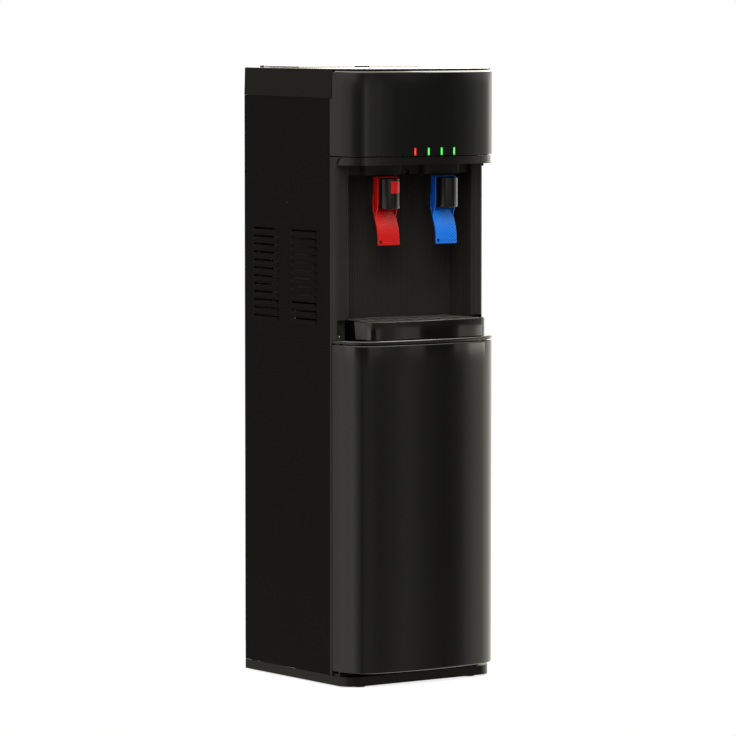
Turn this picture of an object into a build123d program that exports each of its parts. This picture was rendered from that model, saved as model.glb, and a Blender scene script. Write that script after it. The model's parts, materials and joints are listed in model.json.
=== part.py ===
from build123d import *
import math
import os

# Cabinet, in millimetres. Heights are from the floor and depths are from the back.
WIDTH = 308.0
DEPTH = 345.0
TOP = 1041.0
HALF = WIDTH / 2
BACK = DEPTH / 2

# Plan of the head, door and ledge: round corners that run into a bowed front
CORNER_RADIUS = 57.0
CORNER_DEPTH = 337.0
SKIN = 2.6

# Depths from the back
PANEL_FRONT = 256.0
FRAME_WEB_FRONT = 258.8
FRAME_STRIP_FRONT = 260.4
DOOR_REAR = 263.2
CAP_FRONT = 264.0
CAP_FRONT_LOW = 260.3
CAP_GAP = 0.6
PILLAR_FRONT = 274.5
PILLAR_CORNER = 7.0
SPLASH_FACE = 212.0
BASE_FRONT = 306.5
BASE_CORNER = 28.0
BACK_PANEL_DEPTH = 15.0
DIVIDER_DEPTH = 150.0

# Heights
FOOT_HEIGHT = 3.0
BASE_TOP = 19.0
DOOR_BOTTOM = 26.5
DOOR_TOP = 578.8
LEDGE_BOTTOM = 580.8
LEDGE_TOP = 586.5
NOTCH_TOP = 619.5
BAY_CEILING = 880.0
CHIN_TOP = 893.4
HEAD_BOTTOM = 895.0
HEAD_TOP = 1037.6
CAP_BOTTOM = 991.4
CAP_BOTTOM_REAR = 994.0
CAP_PLATE = 3.0
SHELF_HEIGHT = 632.0
BACK_PANEL_BOTTOM = 300.0

FOOT_RADIUS = 10.5
FOOT_PLACES = ((-115, 285), (115, 285), (-115, 30), (115, 30))

# Sheet steel, bay and pillars
SHEET = 1.0
BAY_HALF = 128.0
PILLAR_WALL = 3.0
FOOT_SWEEP = 14.0
RIB_PITCH = 5.0
RIB_WIDTH = 2.4
RIB_HEIGHT = 0.9

# Rib under the ledge, from the plan of the door inwards
RIB_INSET = 8.0

# Side louvres: two columns of twelve on each side
LOUVRE_ROWS = 12
LOUVRE_PITCH = 13.56
LOUVRE_TOP = 765.4
LOUVRE_HEIGHT = 8.2
LOUVRE_SLOT = 2.8
LOUVRE_BULGE = 2.0
LOUVRE_TAPER = 4.0
LOUVRE_COLUMNS = ((28.0, 105.0), (142.0, 218.0))

# Screws of the panels
SIDE_SCREW_DEPTH = 130.6
SIDE_SCREW_HEIGHT = 813.5
BACK_SCREW_HEIGHTS = (320.0, 640.0, 975.0)

# Door and hinge
PIN_X = -145.0
PIN_DEPTH = 272.0
PIN_RADIUS = 2.5
BUSH_RADIUS = 4.5
RUNNING_GAP = 0.05

# Indicators in the head
INDICATOR_PITCH = 26.9
INDICATOR_X = [(step - 1.5) * INDICATOR_PITCH for step in range(4)]
INDICATOR_LOW = 895.8
INDICATOR_HIGH = 908.6

# Taps: one each side of the middle
TAP_X = 60.0
TAP_HALF = 19.0
TAP_NOSE = 295.5
TAP_REAR = 282.0
TAP_BOTTOM = 806.0
TAP_TOP = 856.0
NOZZLE_DEPTH = 298.0
NOZZLE_RADIUS = 4.0
NECK_LOW = 834.0
NECK_HIGH = 853.0
BUTTON_HALF = 8.5
BUTTON_LOW = 831.7
BUTTON_HIGH = 852.6
BUTTON_REAR = 307.0
BUTTON_TRAVEL = 3.0
BUTTON_PROUD = 0.8
HOOD_X = 61.0
HOOD_HALF = 36.7
HOOD_FRONT = 282.0
HOOD_BOTTOM = 862.0
HOOD_CORNER = 4.0
BLOCK_FRONT = 263.0
LENS_HALF = 5.5
LENS_FRONT = 259.0
LENS_HEIGHT = 7.0
LENS_POCKET = 8.0
LEVER_GAP = 0.6
LEVER_WALL = 2.2
LEVER_REAR = 280.0
LEVER_FRONT = 293.4
LEVER_LOW = 800.0
LEVER_HIGH = 859.6
LEVER_PIVOT_DEPTH = 286.0
LEVER_PIVOT = 851.0
LEVER_PIN_RADIUS = 2.0
ARM_FOOT = (
    (293.4, 812.0),
    (291.3, 806.0),
    (288.5, 800.0),
    (286.6, 794.0),
    (286.4, 789.0),
    (283.5, 790.0),
    (281.0, 798.0),
    (280.0, 803.0),
)
PADDLE_HALF = 22.3
PADDLE_THICKNESS = 2.6
PADDLE_FACE = (
    (280.0, 808.0),
    (282.4, 803.0),
    (284.4, 796.0),
    (286.4, 789.0),
    (289.0, 782.0),
    (291.6, 775.0),
    (293.4, 768.0),
    (294.5, 761.0),
    (294.9, 754.0),
    (294.6, 749.0),
    (294.2, 744.0),
)
PADDLE_LIP = 5.0
WEB_TOP = 828.0
PLUNGER_RADIUS = 2.5
PLUNGER_HEIGHT = 816.0
VALVE_HALF = 10.0
VALVE_FRONT = 270.0
VALVE_REAR = 246.0

# Drip tray
TRAY_HALF = 122.5
TRAY_DEPTH = 340.0
TRAY_CORNER = 21.0
TRAY_CORNER_DEPTH = 334.0
TRAY_BOTTOM = 587.0
TRAY_TOP = 618.0
TRAY_WRAP = 285.0
TRAY_WALL = 2.5
BASIN_HALF = 118.0
BASIN_REAR = 215.0
GRILLE_SLOT = 6.0
GRILLE_PITCH = 20.0
GRILLE_COLUMNS = 11
GRILLE_ROWS = ((236.0, 264.0), (282.0, 310.0))

# Lid on the top cover
LID_HALF = 135.0
LID_REAR = 31.0
LID_FRONT = 133.0
LID_THICKNESS = 2.6
LID_GAP = 0.4
LID_PIVOT_DEPTH = 32.0
LID_PIVOT = TOP + 1.7
LID_NOTCH = 28.0
FINGER_REACH = 10.0
FINGER_DEPTH = 7.0
FINGER_WALL = 1.5
CAP_FLARE = 1.2

FOAM_BOTTOM = 715.0
DRAIN_HEIGHT = 62.0
DRAIN_RADIUS = 5.0

# Water and cold circuit
TUBE_RADIUS = 3.2
COPPER_RADIUS = 3.0
FILTER_X = 48.0
FILTER_DEPTH = 206.0
FILTER_RADIUS = 31.0
FILTER_NECK = 15.0
FILTER_BOTTOM = 232.0
FILTER_SHOULDER = 488.0
MANIFOLD_BOTTOM = 498.0
MANIFOLD_TOP = 532.0
COMPRESSOR_X = -12.0
COMPRESSOR_DEPTH = 84.0
COMPRESSOR_RADIUS = 62.0
COLD_X = 62.0
COLD_DEPTH = 110.0
COLD_RADIUS = 68.0
HOT_X = -90.0
HOT_DEPTH = 100.0
HOT_RADIUS = 46.0
COLD_BOTTOM = 745.0
COLD_TOP = 925.0
COLD_OUTLET = 30.0
HOT_BOTTOM = 655.0
HOT_TOP = 805.0
TANK_WALL = 1.2
CONDENSER_DEPTH = 7.0
CONDENSER_HALF = 126.0
CONDENSER_BOTTOM = 345.0
CONDENSER_PITCH = 40.0
CONDENSER_PASSES = 13

# Switches and cable gland on the back
GLAND_X = 98.0
GLAND_HEIGHT = 930.0
GLAND_BORE = 3.6
SWITCH_X = (24.0, 62.0)
SWITCH_PIVOT = 948.0
SWITCH_PIVOT_DEPTH = 12.6


def block(x0, x1, d0, d1, z0, z1):
    """Box between two widths, two depths from the back and two heights."""
    middle = Pos((x0 + x1) / 2, BACK - (d0 + d1) / 2, (z0 + z1) / 2)
    return middle * Box(x1 - x0, d1 - d0, z1 - z0)


def upright(x, d, z0, z1, radius):
    """Round bar standing on end."""
    return Pos(x, BACK - d, (z0 + z1) / 2) * Cylinder(radius, z1 - z0)


def cross_rod(x0, x1, d, z, radius):
    """Round bar from side to side."""
    return Pos((x0 + x1) / 2, BACK - d, z) * Rot(0, 90, 0) * Cylinder(radius, x1 - x0)


def depth_rod(x, d0, d1, z, radius):
    """Round bar from back to front."""
    return Pos(x, BACK - (d0 + d1) / 2, z) * Rot(90, 0, 0) * Cylinder(radius, d1 - d0)


def mirrored(solid):
    """The same piece on the other side of the cabinet."""
    return mirror(solid, about=Plane.YZ)


def group(*solids):
    """Separate solids kept as one node."""
    return Compound(children=list(solids))


def tube(points, radius, bend):
    """Bent tube through points given as width, depth from the back and height."""
    corners = [(x, BACK - d, z) for x, d, z in points]
    path = FilletPolyline(*corners, radius=bend)
    return sweep(Plane(origin=path @ 0, z_dir=path % 0) * Circle(radius), path=path)


def bowed(half, rear, corner, corner_depth, depth, z0, z1):
    """Prism with straight sides, round front corners and a bowed front, all tangent."""
    span = half - corner
    drop = depth - (corner_depth - corner)
    bow = (span**2 + drop**2 - corner**2) / (2 * (drop - corner))
    centre_depth = corner_depth - corner
    reach = bow - corner
    lean_x = span / reach
    lean_d = (centre_depth - (depth - bow)) / reach
    half_turn = math.atan2(lean_d, lean_x) / 2
    join = (span + corner * lean_x, BACK - centre_depth - corner * lean_d)
    mid_x = span + corner * math.cos(half_turn)
    mid = (mid_x, BACK - centre_depth - corner * math.sin(half_turn))
    start = (half, BACK - centre_depth)
    edges = [
        Line((half, BACK - rear), start),
        ThreePointArc(start, mid, join),
        ThreePointArc(join, (0, BACK - depth), (-join[0], join[1])),
        ThreePointArc((-join[0], join[1]), (-mid[0], mid[1]), (-half, start[1])),
        Line((-half, start[1]), (-half, BACK - rear)),
        Line((-half, BACK - rear), (half, BACK - rear)),
    ]
    return Pos(0, 0, z0) * extrude(make_face(edges), z1 - z0)


def outline(inset, rear, z0, z1):
    """Prism on the plan shared by the head, chin, ledge and door."""
    corner = CORNER_RADIUS - inset
    return bowed(HALF - inset, rear, corner, CORNER_DEPTH - inset, DEPTH - inset, z0, z1)


def side_profile(points, x0, x1):
    """Prism across the cabinet from points of depth and height."""
    face = make_face(Polyline(*[(BACK - d, z) for d, z in points], close=True))
    turned = Plane(origin=(x0, 0, 0), x_dir=(0, 1, 0), z_dir=(1, 0, 0)) * face
    return extrude(turned, x1 - x0)


def base_pan():
    """Pressed base: open tray behind and a closed deck under the door."""
    wall = 2.0
    step = 240.0
    skirt = block(-HALF, HALF, 1, BASE_FRONT, FOOT_HEIGHT, BASE_TOP)
    front_edges = skirt.edges().filter_by(Axis.Z).group_by(Axis.Y)[0]
    skirt = fillet(front_edges, BASE_CORNER)
    tray = block(-HALF + wall, HALF - wall, 1 + wall, step, FOOT_HEIGHT + wall, BASE_TOP)
    deck_front = BASE_FRONT - wall
    under = block(-HALF + wall, HALF - wall, step + wall, deck_front, FOOT_HEIGHT, BASE_TOP - wall)
    front_edges = under.edges().filter_by(Axis.Z).group_by(Axis.Y)[0]
    under = fillet(front_edges, BASE_CORNER - wall)
    bosses = [upright(x, d, FOOT_HEIGHT, BASE_TOP - wall, FOOT_RADIUS + 1) for x, d in FOOT_PLACES[:2]]
    return skirt - tray - under + bosses


def rubber_feet():
    """Four round feet pressed into the base."""
    return group(*[upright(x, d, 0, FOOT_HEIGHT, FOOT_RADIUS) for x, d in FOOT_PLACES])


def louvre(depth0, depth1, top):
    """Pressed hood on the left side, closed below and open on top."""
    length = depth1 - depth0
    low = top - LOUVRE_HEIGHT
    flat = LOUVRE_HEIGHT - 1.6
    place = Plane(origin=(-HALF, BACK - depth1, low), x_dir=(0, 1, 0), z_dir=(0, 0, 1))
    inner_place = Plane(
        origin=(-HALF + SHEET, BACK - depth1 + SHEET, low + SHEET), x_dir=(0, 1, 0), z_dir=(0, 0, 1)
    )
    taper = LOUVRE_TAPER
    outer = Solid.make_wedge(
        length, LOUVRE_BULGE, LOUVRE_HEIGHT, taper, flat, length - taper, LOUVRE_HEIGHT, place
    )
    inner_length = length - 2 * SHEET
    inner_height = LOUVRE_HEIGHT - SHEET
    inner_flat = inner_length - taper
    inner = Solid.make_wedge(
        inner_length, LOUVRE_BULGE, inner_height, taper, flat, inner_flat, inner_height, inner_place
    )
    return outer - inner


def side_panel():
    """Left side panel: folded sheet with two columns of louvres."""
    low = BASE_TOP + 0.5
    gap = 0.2
    sheet = side_profile(
        (
            (1, low),
            (PANEL_FRONT, low),
            (PANEL_FRONT, CAP_BOTTOM - gap),
            (1, CAP_BOTTOM_REAR - gap),
        ),
        -HALF,
        -HALF + SHEET,
    )
    high = CAP_BOTTOM - gap
    inner = -HALF + 15
    sheet += block(-HALF, inner, PANEL_FRONT - SHEET, PANEL_FRONT, low, high)
    flange_rear = BACK_PANEL_DEPTH + SHEET
    sheet += block(-HALF, inner, flange_rear, flange_rear + SHEET, low, high)
    sheet += block(-HALF, inner, flange_rear, PANEL_FRONT, high - SHEET, high)
    sheet += block(-HALF + 3, -HALF + 4, 5, PANEL_FRONT - 4, high - SHEET, high + 14)
    sheet -= cross_rod(-HALF, -HALF + SHEET, SIDE_SCREW_DEPTH, SIDE_SCREW_HEIGHT, 1.6)
    for z in BACK_SCREW_HEIGHTS:
        sheet -= depth_rod(-HALF + 9, flange_rear, flange_rear + SHEET, z, 1.8)
    slots = []
    hoods = []
    for depth0, depth1 in LOUVRE_COLUMNS:
        for row in range(LOUVRE_ROWS):
            top = LOUVRE_TOP - row * LOUVRE_PITCH
            low = top - LOUVRE_HEIGHT + SHEET
            slots.append(block(-HALF, -HALF + SHEET, depth0 + SHEET, depth1 - SHEET, low, top + LOUVRE_SLOT))
            hoods.append(louvre(depth0, depth1, top))
    return sheet - slots + hoods


def back_panel():
    """Sheet back between the side panels, with vents and the condenser clips."""
    rear, front = BACK_PANEL_DEPTH, BACK_PANEL_DEPTH + SHEET
    panel = block(-HALF + 2.5, HALF - 2.5, rear, front, BACK_PANEL_BOTTOM, 990)
    panel += block(-HALF + 5.5, HALF - 5.5, rear, front, 990, 1020)
    vents = []
    for row in range(6):
        height = 930 + row * 9
        vents.append(block(-110, -50, BACK_PANEL_DEPTH, BACK_PANEL_DEPTH + SHEET, height, height + 4))
    clips = []
    for x in (-84, 84):
        for height in (CONDENSER_BOTTOM + 20, CONDENSER_BOTTOM + 460):
            clips.append(block(x - 5, x + 5, CONDENSER_DEPTH + 4, BACK_PANEL_DEPTH, height - 6, height + 6))
    for x in SWITCH_X:
        vents.append(block(x - 10.3, x + 10.3, BACK_PANEL_DEPTH, BACK_PANEL_DEPTH + SHEET, 931.5, 964.5))
    vents.append(depth_rod(GLAND_X, BACK_PANEL_DEPTH, BACK_PANEL_DEPTH + SHEET, GLAND_HEIGHT, 5))
    for x in (-HALF + 9, HALF - 9):
        for z in BACK_SCREW_HEIGHTS:
            vents.append(depth_rod(x, BACK_PANEL_DEPTH, BACK_PANEL_DEPTH + SHEET, z, 1.8))
    return panel - vents + clips


def top_cover():
    """Moulded cap: plate, flared side and rear skirts, seat of the lid and finger recess."""
    skin = 2.5
    rise = TOP - CAP_BOTTOM
    draft = math.degrees(math.atan(CAP_FLARE / rise))
    plan = Pos(0, BACK - CAP_FLARE - CAP_FRONT / 2 - 5, TOP) * RectangleRounded(WIDTH, CAP_FRONT + 10, 2)
    sides = ((-1, CAP_BOTTOM_REAR), (CAP_FRONT_LOW, CAP_BOTTOM), (CAP_FRONT, TOP), (-1, TOP))
    cap = extrude(plan, rise, dir=(0, 0, -1), taper=-draft)
    cap &= side_profile(sides, -HALF - CAP_FLARE - 1, HALF + CAP_FLARE + 1)
    cap -= block(-HALF + skin, HALF - skin, CAP_FLARE + skin, CAP_FRONT, CAP_BOTTOM, TOP - CAP_PLATE)
    cap += outline(3, CAP_FRONT - 20, TOP - CAP_PLATE, TOP)
    cap = fillet(cap.faces().sort_by(Axis.Z)[-1].outer_wire().edges(), 1.8)
    cap -= block(-LID_HALF + 6, LID_HALF - 6, LID_REAR + 4, LID_FRONT - 6, TOP - CAP_PLATE, TOP)
    notch = LID_NOTCH / 2
    cup = notch + FINGER_WALL
    near, far = LID_FRONT - 5, LID_FRONT + FINGER_REACH
    cap += block(-cup, cup, near - FINGER_WALL, far + FINGER_WALL, TOP - FINGER_DEPTH - FINGER_WALL, TOP)
    cap -= block(-notch, notch, near, far, TOP - FINGER_DEPTH, TOP)
    for side in (-1, 1):
        x = side * (LID_HALF + 3.0)
        ear = block(x - 2.4, x + 2.4, LID_REAR - 2, LID_REAR + 4, TOP, TOP + 3)
        cap += ear - cross_rod(x - 2.4, x + 2.4, LID_PIVOT_DEPTH, LID_PIVOT, 1.0)
    return cap


def top_lid():
    """Service lid over the tank, with a finger notch in its front edge."""
    low = TOP + LID_GAP
    plate = block(-LID_HALF, LID_HALF, LID_REAR, LID_FRONT, low, low + LID_THICKNESS)
    corners = plate.edges().filter_by(Axis.Z).group_by(Axis.Y)[0]
    plate = fillet(corners, 4)
    plate += block(-LID_HALF + 9, LID_HALF - 9, LID_REAR + 7.5, LID_FRONT - 9, TOP - 4, low)
    notch = LID_NOTCH / 2
    plate -= block(-notch, notch, LID_FRONT - 5, LID_FRONT, low, low + 2)
    for side in (-1, 1):
        inner = side * (LID_HALF - 8)
        outer = side * LID_HALF
        plate -= cross_rod(
            min(inner, outer), max(inner, outer), LID_PIVOT_DEPTH, LID_PIVOT, 0.6 + RUNNING_GAP
        )
    return plate


def lid_pins():
    """Two stepped pins between the ears of the cap and the lid."""
    pins = []
    for side in (-1, 1):
        x = side * (LID_HALF + 3.0)
        thin = side * (LID_HALF - 6)
        pin = cross_rod(x - 2.4, x + 2.4, LID_PIVOT_DEPTH, LID_PIVOT, 1.0)
        pin += cross_rod(min(x, thin), max(x, thin), LID_PIVOT_DEPTH, LID_PIVOT, 0.6)
        pins.append(pin)
    return group(*pins)


def pillar():
    """Left pillar of the bay with its foot recess."""
    rear = PANEL_FRONT + 0.2
    shaft = block(-HALF, -BAY_HALF, rear, PILLAR_FRONT, LEDGE_TOP, CHIN_TOP)
    front = shaft.edges().filter_by(Axis.Z).group_by(Axis.Y)[0]
    shaft = fillet(front.sort_by(Axis.X)[0], PILLAR_CORNER)
    inner = shaft.edges().filter_by(Axis.Z).group_by(Axis.Y)[0].sort_by(Axis.X)[-1]
    shaft = fillet(inner, 2.5)
    groove = -BAY_HALF - 4.5
    shaft -= block(groove - 0.4, groove + 0.4, PILLAR_FRONT - 0.8, PILLAR_FRONT, NOTCH_TOP, CHIN_TOP)
    shaft -= block(-BAY_HALF - 0.7, -BAY_HALF, 265, 265.7, LEDGE_TOP, BAY_CEILING)
    wall = block(-BAY_HALF - PILLAR_WALL, -BAY_HALF, 246, rear, LEDGE_TOP, BAY_CEILING)
    recess = block(
        -HALF + PILLAR_WALL, -BAY_HALF, FRAME_STRIP_FRONT + 2, PILLAR_FRONT, LEDGE_TOP, NOTCH_TOP
    )
    low_edge = recess.edges().filter_by(Axis.Y).group_by(Axis.Z)[0].sort_by(Axis.X)[0]
    recess = fillet(low_edge, FOOT_SWEEP)
    hollow = block(
        -HALF + PILLAR_WALL,
        -BAY_HALF - PILLAR_WALL,
        rear + PILLAR_WALL,
        PILLAR_FRONT - PILLAR_WALL,
        NOTCH_TOP,
        BAY_CEILING - PILLAR_WALL,
    )
    return shaft + wall - recess - hollow


def cheek(radius, reach):
    """Side profile under the head: from the pillar front a hollow curve runs forward."""
    rear = PANEL_FRONT + 0.2
    low = CHIN_TOP - radius
    foot = low - 6
    body = block(-HALF - reach, HALF + reach, rear, PILLAR_FRONT + radius, foot, CHIN_TOP)
    body -= block(-HALF - reach, HALF + reach, PILLAR_FRONT, PILLAR_FRONT + radius, foot, low)
    return body - cross_rod(-HALF - reach, HALF + reach, PILLAR_FRONT + radius, low, radius)


def front_frame():
    """Full height front frame: web, outer strips, pillars and cheeks."""
    low = BASE_TOP + 0.5
    web = block(-HALF, HALF, PANEL_FRONT + 0.2, FRAME_WEB_FRONT, low, CHIN_TOP)
    web -= block(-BAY_HALF + 8, BAY_HALF - 8, PANEL_FRONT, FRAME_WEB_FRONT, 36, 556)
    web -= block(-BAY_HALF, BAY_HALF, PANEL_FRONT, FRAME_WEB_FRONT, LEDGE_BOTTOM, CHIN_TOP)
    for side in (-1, 1):
        x0, x1 = sorted((side * HALF, side * (HALF - 2.5)))
        web += block(x0, x1, FRAME_WEB_FRONT, FRAME_STRIP_FRONT, low, LEDGE_BOTTOM)
        x0, x1 = sorted((side * HALF, side * BAY_HALF))
        web += block(x0, x1, FRAME_WEB_FRONT, FRAME_STRIP_FRONT, LEDGE_BOTTOM, LEDGE_TOP)
    left = pillar()
    ring = outline(0, PANEL_FRONT + 0.2, BAY_CEILING - 8, CHIN_TOP)
    ring -= outline(SKIN, PANEL_FRONT, BAY_CEILING - 8, CHIN_TOP)
    cheeks = ring & cheek(14.0, 1.0)
    return web + left + mirrored(left) + cheeks


def head_fascia():
    """Gloss head: skin, rolled top edge and the holes of the indicators."""
    head = outline(0, PANEL_FRONT + 0.2, HEAD_BOTTOM, HEAD_TOP)
    top_edges = head.faces().sort_by(Axis.Z)[-1].edges().filter_by(
        lambda edge: edge.center().Y < BACK - PANEL_FRONT - 1
    )
    head = fillet(top_edges, 4.5)
    head -= outline(SKIN, PANEL_FRONT, HEAD_BOTTOM + SKIN, HEAD_TOP - SKIN)
    head -= outline(14, PANEL_FRONT, HEAD_TOP - SKIN, HEAD_TOP)
    head -= outline(24, PANEL_FRONT, HEAD_BOTTOM, HEAD_BOTTOM + SKIN)
    low = CAP_BOTTOM - CAP_GAP
    seat = ((250, low), (CAP_FRONT_LOW + CAP_GAP, low), (CAP_FRONT + CAP_GAP, TOP), (250, TOP))
    head -= side_profile(seat, -HALF, HALF)
    holes = [indicator_hole(x) for x in INDICATOR_X]
    return head - holes


def indicator_hole(x):
    """Window of one indicator in the head."""
    return block(x - 2.05, x + 2.05, DEPTH - 8, DEPTH + 1, INDICATOR_LOW, INDICATOR_HIGH)


def indicator(x):
    """Clear bar behind its window, flush with the head."""
    gap = 0.05
    bar = block(x - 2.0, x + 2.0, DEPTH - 8, DEPTH + 1, INDICATOR_LOW + gap, INDICATOR_HIGH - gap)
    return bar & outline(0.1, PANEL_FRONT, INDICATOR_LOW, INDICATOR_HIGH)


def chin_trim():
    """Strip under the head with the bay ceiling behind it."""
    strip = outline(2.2, PANEL_FRONT + 0.5, BAY_CEILING, CHIN_TOP)
    strip += outline(0.8, PANEL_FRONT + 0.5, BAY_CEILING, BAY_CEILING + 1.4)
    strip -= outline(2.2 + SKIN, PANEL_FRONT, BAY_CEILING + SKIN, CHIN_TOP)
    ceiling = block(-BAY_HALF + 0.3, BAY_HALF - 0.3, SPLASH_FACE + 0.3, 290, BAY_CEILING, BAY_CEILING + SKIN)
    strip -= block(-HALF, HALF, PANEL_FRONT, PILLAR_FRONT + 0.4, BAY_CEILING, CHIN_TOP)
    strip -= cheek(14.4, 1.0)
    return strip + ceiling


def ledge():
    """Ledge over the door with the floor of the tray space behind it."""
    rim = outline(0, FRAME_STRIP_FRONT + 0.3, LEDGE_BOTTOM, LEDGE_TOP)
    front_edges = rim.faces().sort_by(Axis.Z)[-1].edges().filter_by(
        lambda edge: edge.center().Y < BACK - PILLAR_FRONT
    )
    rim = fillet(front_edges, 3.0)
    rim -= outline(SKIN, FRAME_STRIP_FRONT, LEDGE_BOTTOM, LEDGE_TOP - SKIN)
    rib_top = LEDGE_TOP - SKIN / 2
    rib = outline(RIB_INSET, PIN_DEPTH, DOOR_TOP + 0.6, rib_top)
    rib -= outline(RIB_INSET + 2, FRAME_STRIP_FRONT, DOOR_TOP + 0.6, rib_top)
    rib &= block(-HALF, HALF, PIN_DEPTH + 9, DEPTH, DOOR_TOP + 0.6, rib_top)
    floor = block(
        -BAY_HALF + 0.3, BAY_HALF - 0.3, SPLASH_FACE + 0.3, PILLAR_FRONT + 2, LEDGE_TOP - SKIN, LEDGE_TOP
    )
    return rim + rib + floor


def splash_panel():
    """Ribbed rear wall of the bay with its two side walls."""
    wall = 2.5
    low = LEDGE_BOTTOM
    high = BAY_CEILING - 0.3
    panel = block(-BAY_HALF - wall, BAY_HALF + wall, SPLASH_FACE - wall, SPLASH_FACE, low, high)
    for side in (-1, 1):
        x0, x1 = sorted((side * BAY_HALF, side * (BAY_HALF + wall)))
        panel += block(x0, x1, SPLASH_FACE, 245.6, low, high)
    count = int((2 * BAY_HALF - 6) / RIB_PITCH)
    ribs = []
    for number in range(count + 1):
        x = (number - count / 2) * RIB_PITCH
        ribs.append(
            block(
                x - RIB_WIDTH / 2,
                x + RIB_WIDTH / 2,
                SPLASH_FACE,
                SPLASH_FACE + RIB_HEIGHT,
                LEDGE_TOP + 6,
                BAY_CEILING - 20,
            )
        )
    return panel + ribs


def tap_hoods():
    """Block under the bay ceiling with a hood over each tap."""
    low = HOOD_BOTTOM
    high = BAY_CEILING - 0.3
    body = block(-BAY_HALF + 1, BAY_HALF - 1, SPLASH_FACE + 1.5, BLOCK_FRONT, low, high)
    for x in (-HOOD_X, HOOD_X):
        hood = block(x - HOOD_HALF, x + HOOD_HALF, BLOCK_FRONT, HOOD_FRONT, low, high)
        corners = hood.edges().filter_by(Axis.Z).group_by(Axis.Y)[0]
        body += fillet(corners, HOOD_CORNER)
    half = LENS_HALF + 0.1
    rear = BLOCK_FRONT - LENS_POCKET
    return body - block(-half, half, rear, BLOCK_FRONT, low, low + LENS_HEIGHT + 0.1)


def night_light():
    """Lamp in a pocket over the middle of the bay."""
    rear = BLOCK_FRONT - LENS_POCKET + 0.1
    lens = block(-LENS_HALF, LENS_HALF, rear, LENS_FRONT, HOOD_BOTTOM, HOOD_BOTTOM + LENS_HEIGHT)
    return fillet(lens.edges().filter_by(Axis.Z).group_by(Axis.Y)[0], 1.5)


def tap_body(x):
    """Gloss housing of a tap: round nose, nozzle bore and the neck to the valve."""
    body = block(x - TAP_HALF, x + TAP_HALF, TAP_REAR, TAP_NOSE, TAP_BOTTOM, TAP_TOP)
    nose = upright(x, TAP_NOSE, TAP_BOTTOM, TAP_TOP, TAP_HALF)
    body += nose & block(x - TAP_HALF, x + TAP_HALF, TAP_REAR, TAP_NOSE + TAP_HALF, TAP_BOTTOM, TAP_TOP)
    body += block(x - VALVE_HALF, x + VALVE_HALF, VALVE_FRONT, TAP_REAR, NECK_LOW, NECK_HIGH)
    body -= upright(x, NOZZLE_DEPTH, TAP_BOTTOM, TAP_BOTTOM + 14, NOZZLE_RADIUS)
    for side in (-1, 1):
        inner, outer = sorted((x + side * (TAP_HALF - 8), x + side * TAP_HALF))
        body -= cross_rod(inner, outer, LEVER_PIVOT_DEPTH, LEVER_PIVOT, LEVER_PIN_RADIUS)
    return body


def hot_tap_body():
    """Hot tap housing with the pocket of the safety button."""
    gap = 0.1
    left, right = -TAP_X - BUTTON_HALF - gap, -TAP_X + BUTTON_HALF + gap
    front = TAP_NOSE + TAP_HALF + 1
    pocket = block(left, right, BUTTON_REAR - BUTTON_TRAVEL, front, BUTTON_LOW - gap, BUTTON_HIGH + gap)
    return tap_body(-TAP_X) - pocket


def hot_safety_button():
    """Red button in the nose of the hot tap that frees the hot lever."""
    left, right = -TAP_X - BUTTON_HALF, -TAP_X + BUTTON_HALF
    front = TAP_NOSE + TAP_HALF + BUTTON_PROUD
    button = block(left, right, BUTTON_REAR, front + 1, BUTTON_LOW, BUTTON_HIGH)
    return button & upright(-TAP_X, TAP_NOSE, BUTTON_LOW, BUTTON_HIGH, TAP_HALF + BUTTON_PROUD)


def tap_valves():
    """Valve housing behind each tap, with the bore of its plunger."""
    valves = []
    for x in (-TAP_X, TAP_X):
        body = block(x - VALVE_HALF, x + VALVE_HALF, VALVE_REAR, VALVE_FRONT, 808, HOOD_BOTTOM)
        bore = depth_rod(x, VALVE_REAR + 2, VALVE_FRONT, PLUNGER_HEIGHT, PLUNGER_RADIUS + RUNNING_GAP)
        valves.append(body - bore)
    return group(*valves)


def plunger(x):
    """Valve plunger pushed in by the web of the lever."""
    return depth_rod(x, VALVE_REAR + 8, LEVER_REAR - 2.5, PLUNGER_HEIGHT, PLUNGER_RADIUS)


def lever(x):
    """Coloured lever: two arms beside the tap, a top band, a rear web and the paddle."""
    inner = TAP_HALF + LEVER_GAP
    outer = inner + LEVER_WALL
    side = ((LEVER_REAR, LEVER_HIGH), (LEVER_FRONT, LEVER_HIGH), *ARM_FOOT)
    frame = side_profile(side, x - outer, x + outer)
    top_front = frame.edges().filter_by(Axis.X).group_by(Axis.Z)[-1].sort_by(Axis.Y)[0]
    frame = fillet(top_front, 5)
    band = LEVER_HIGH - LEVER_WALL
    foot = min(z for d, z in ARM_FOOT)
    frame -= block(x - inner, x + inner, LEVER_REAR, LEVER_FRONT, foot, band)
    frame += block(x - outer, x + outer, LEVER_REAR - LEVER_WALL, LEVER_REAR, LEVER_LOW, WEB_TOP)
    frame -= cross_rod(x - outer, x + outer, LEVER_PIVOT_DEPTH, LEVER_PIVOT, LEVER_PIN_RADIUS + RUNNING_GAP)
    back = [(d - PADDLE_THICKNESS, z) for d, z in reversed(PADDLE_FACE)]
    paddle = side_profile(list(PADDLE_FACE) + back, x - PADDLE_HALF, x + PADDLE_HALF)
    edge_d, edge_z = PADDLE_FACE[-1]
    lip = block(
        x - PADDLE_HALF, x + PADDLE_HALF, edge_d - 2, edge_d + 1, edge_z, edge_z + PADDLE_LIP
    )
    hole = depth_rod(x - PADDLE_HALF + 5, edge_d - 6, edge_d + 3, edge_z + PADDLE_LIP + 2.5, 1.2)
    return frame + paddle + lip - hole


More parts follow.
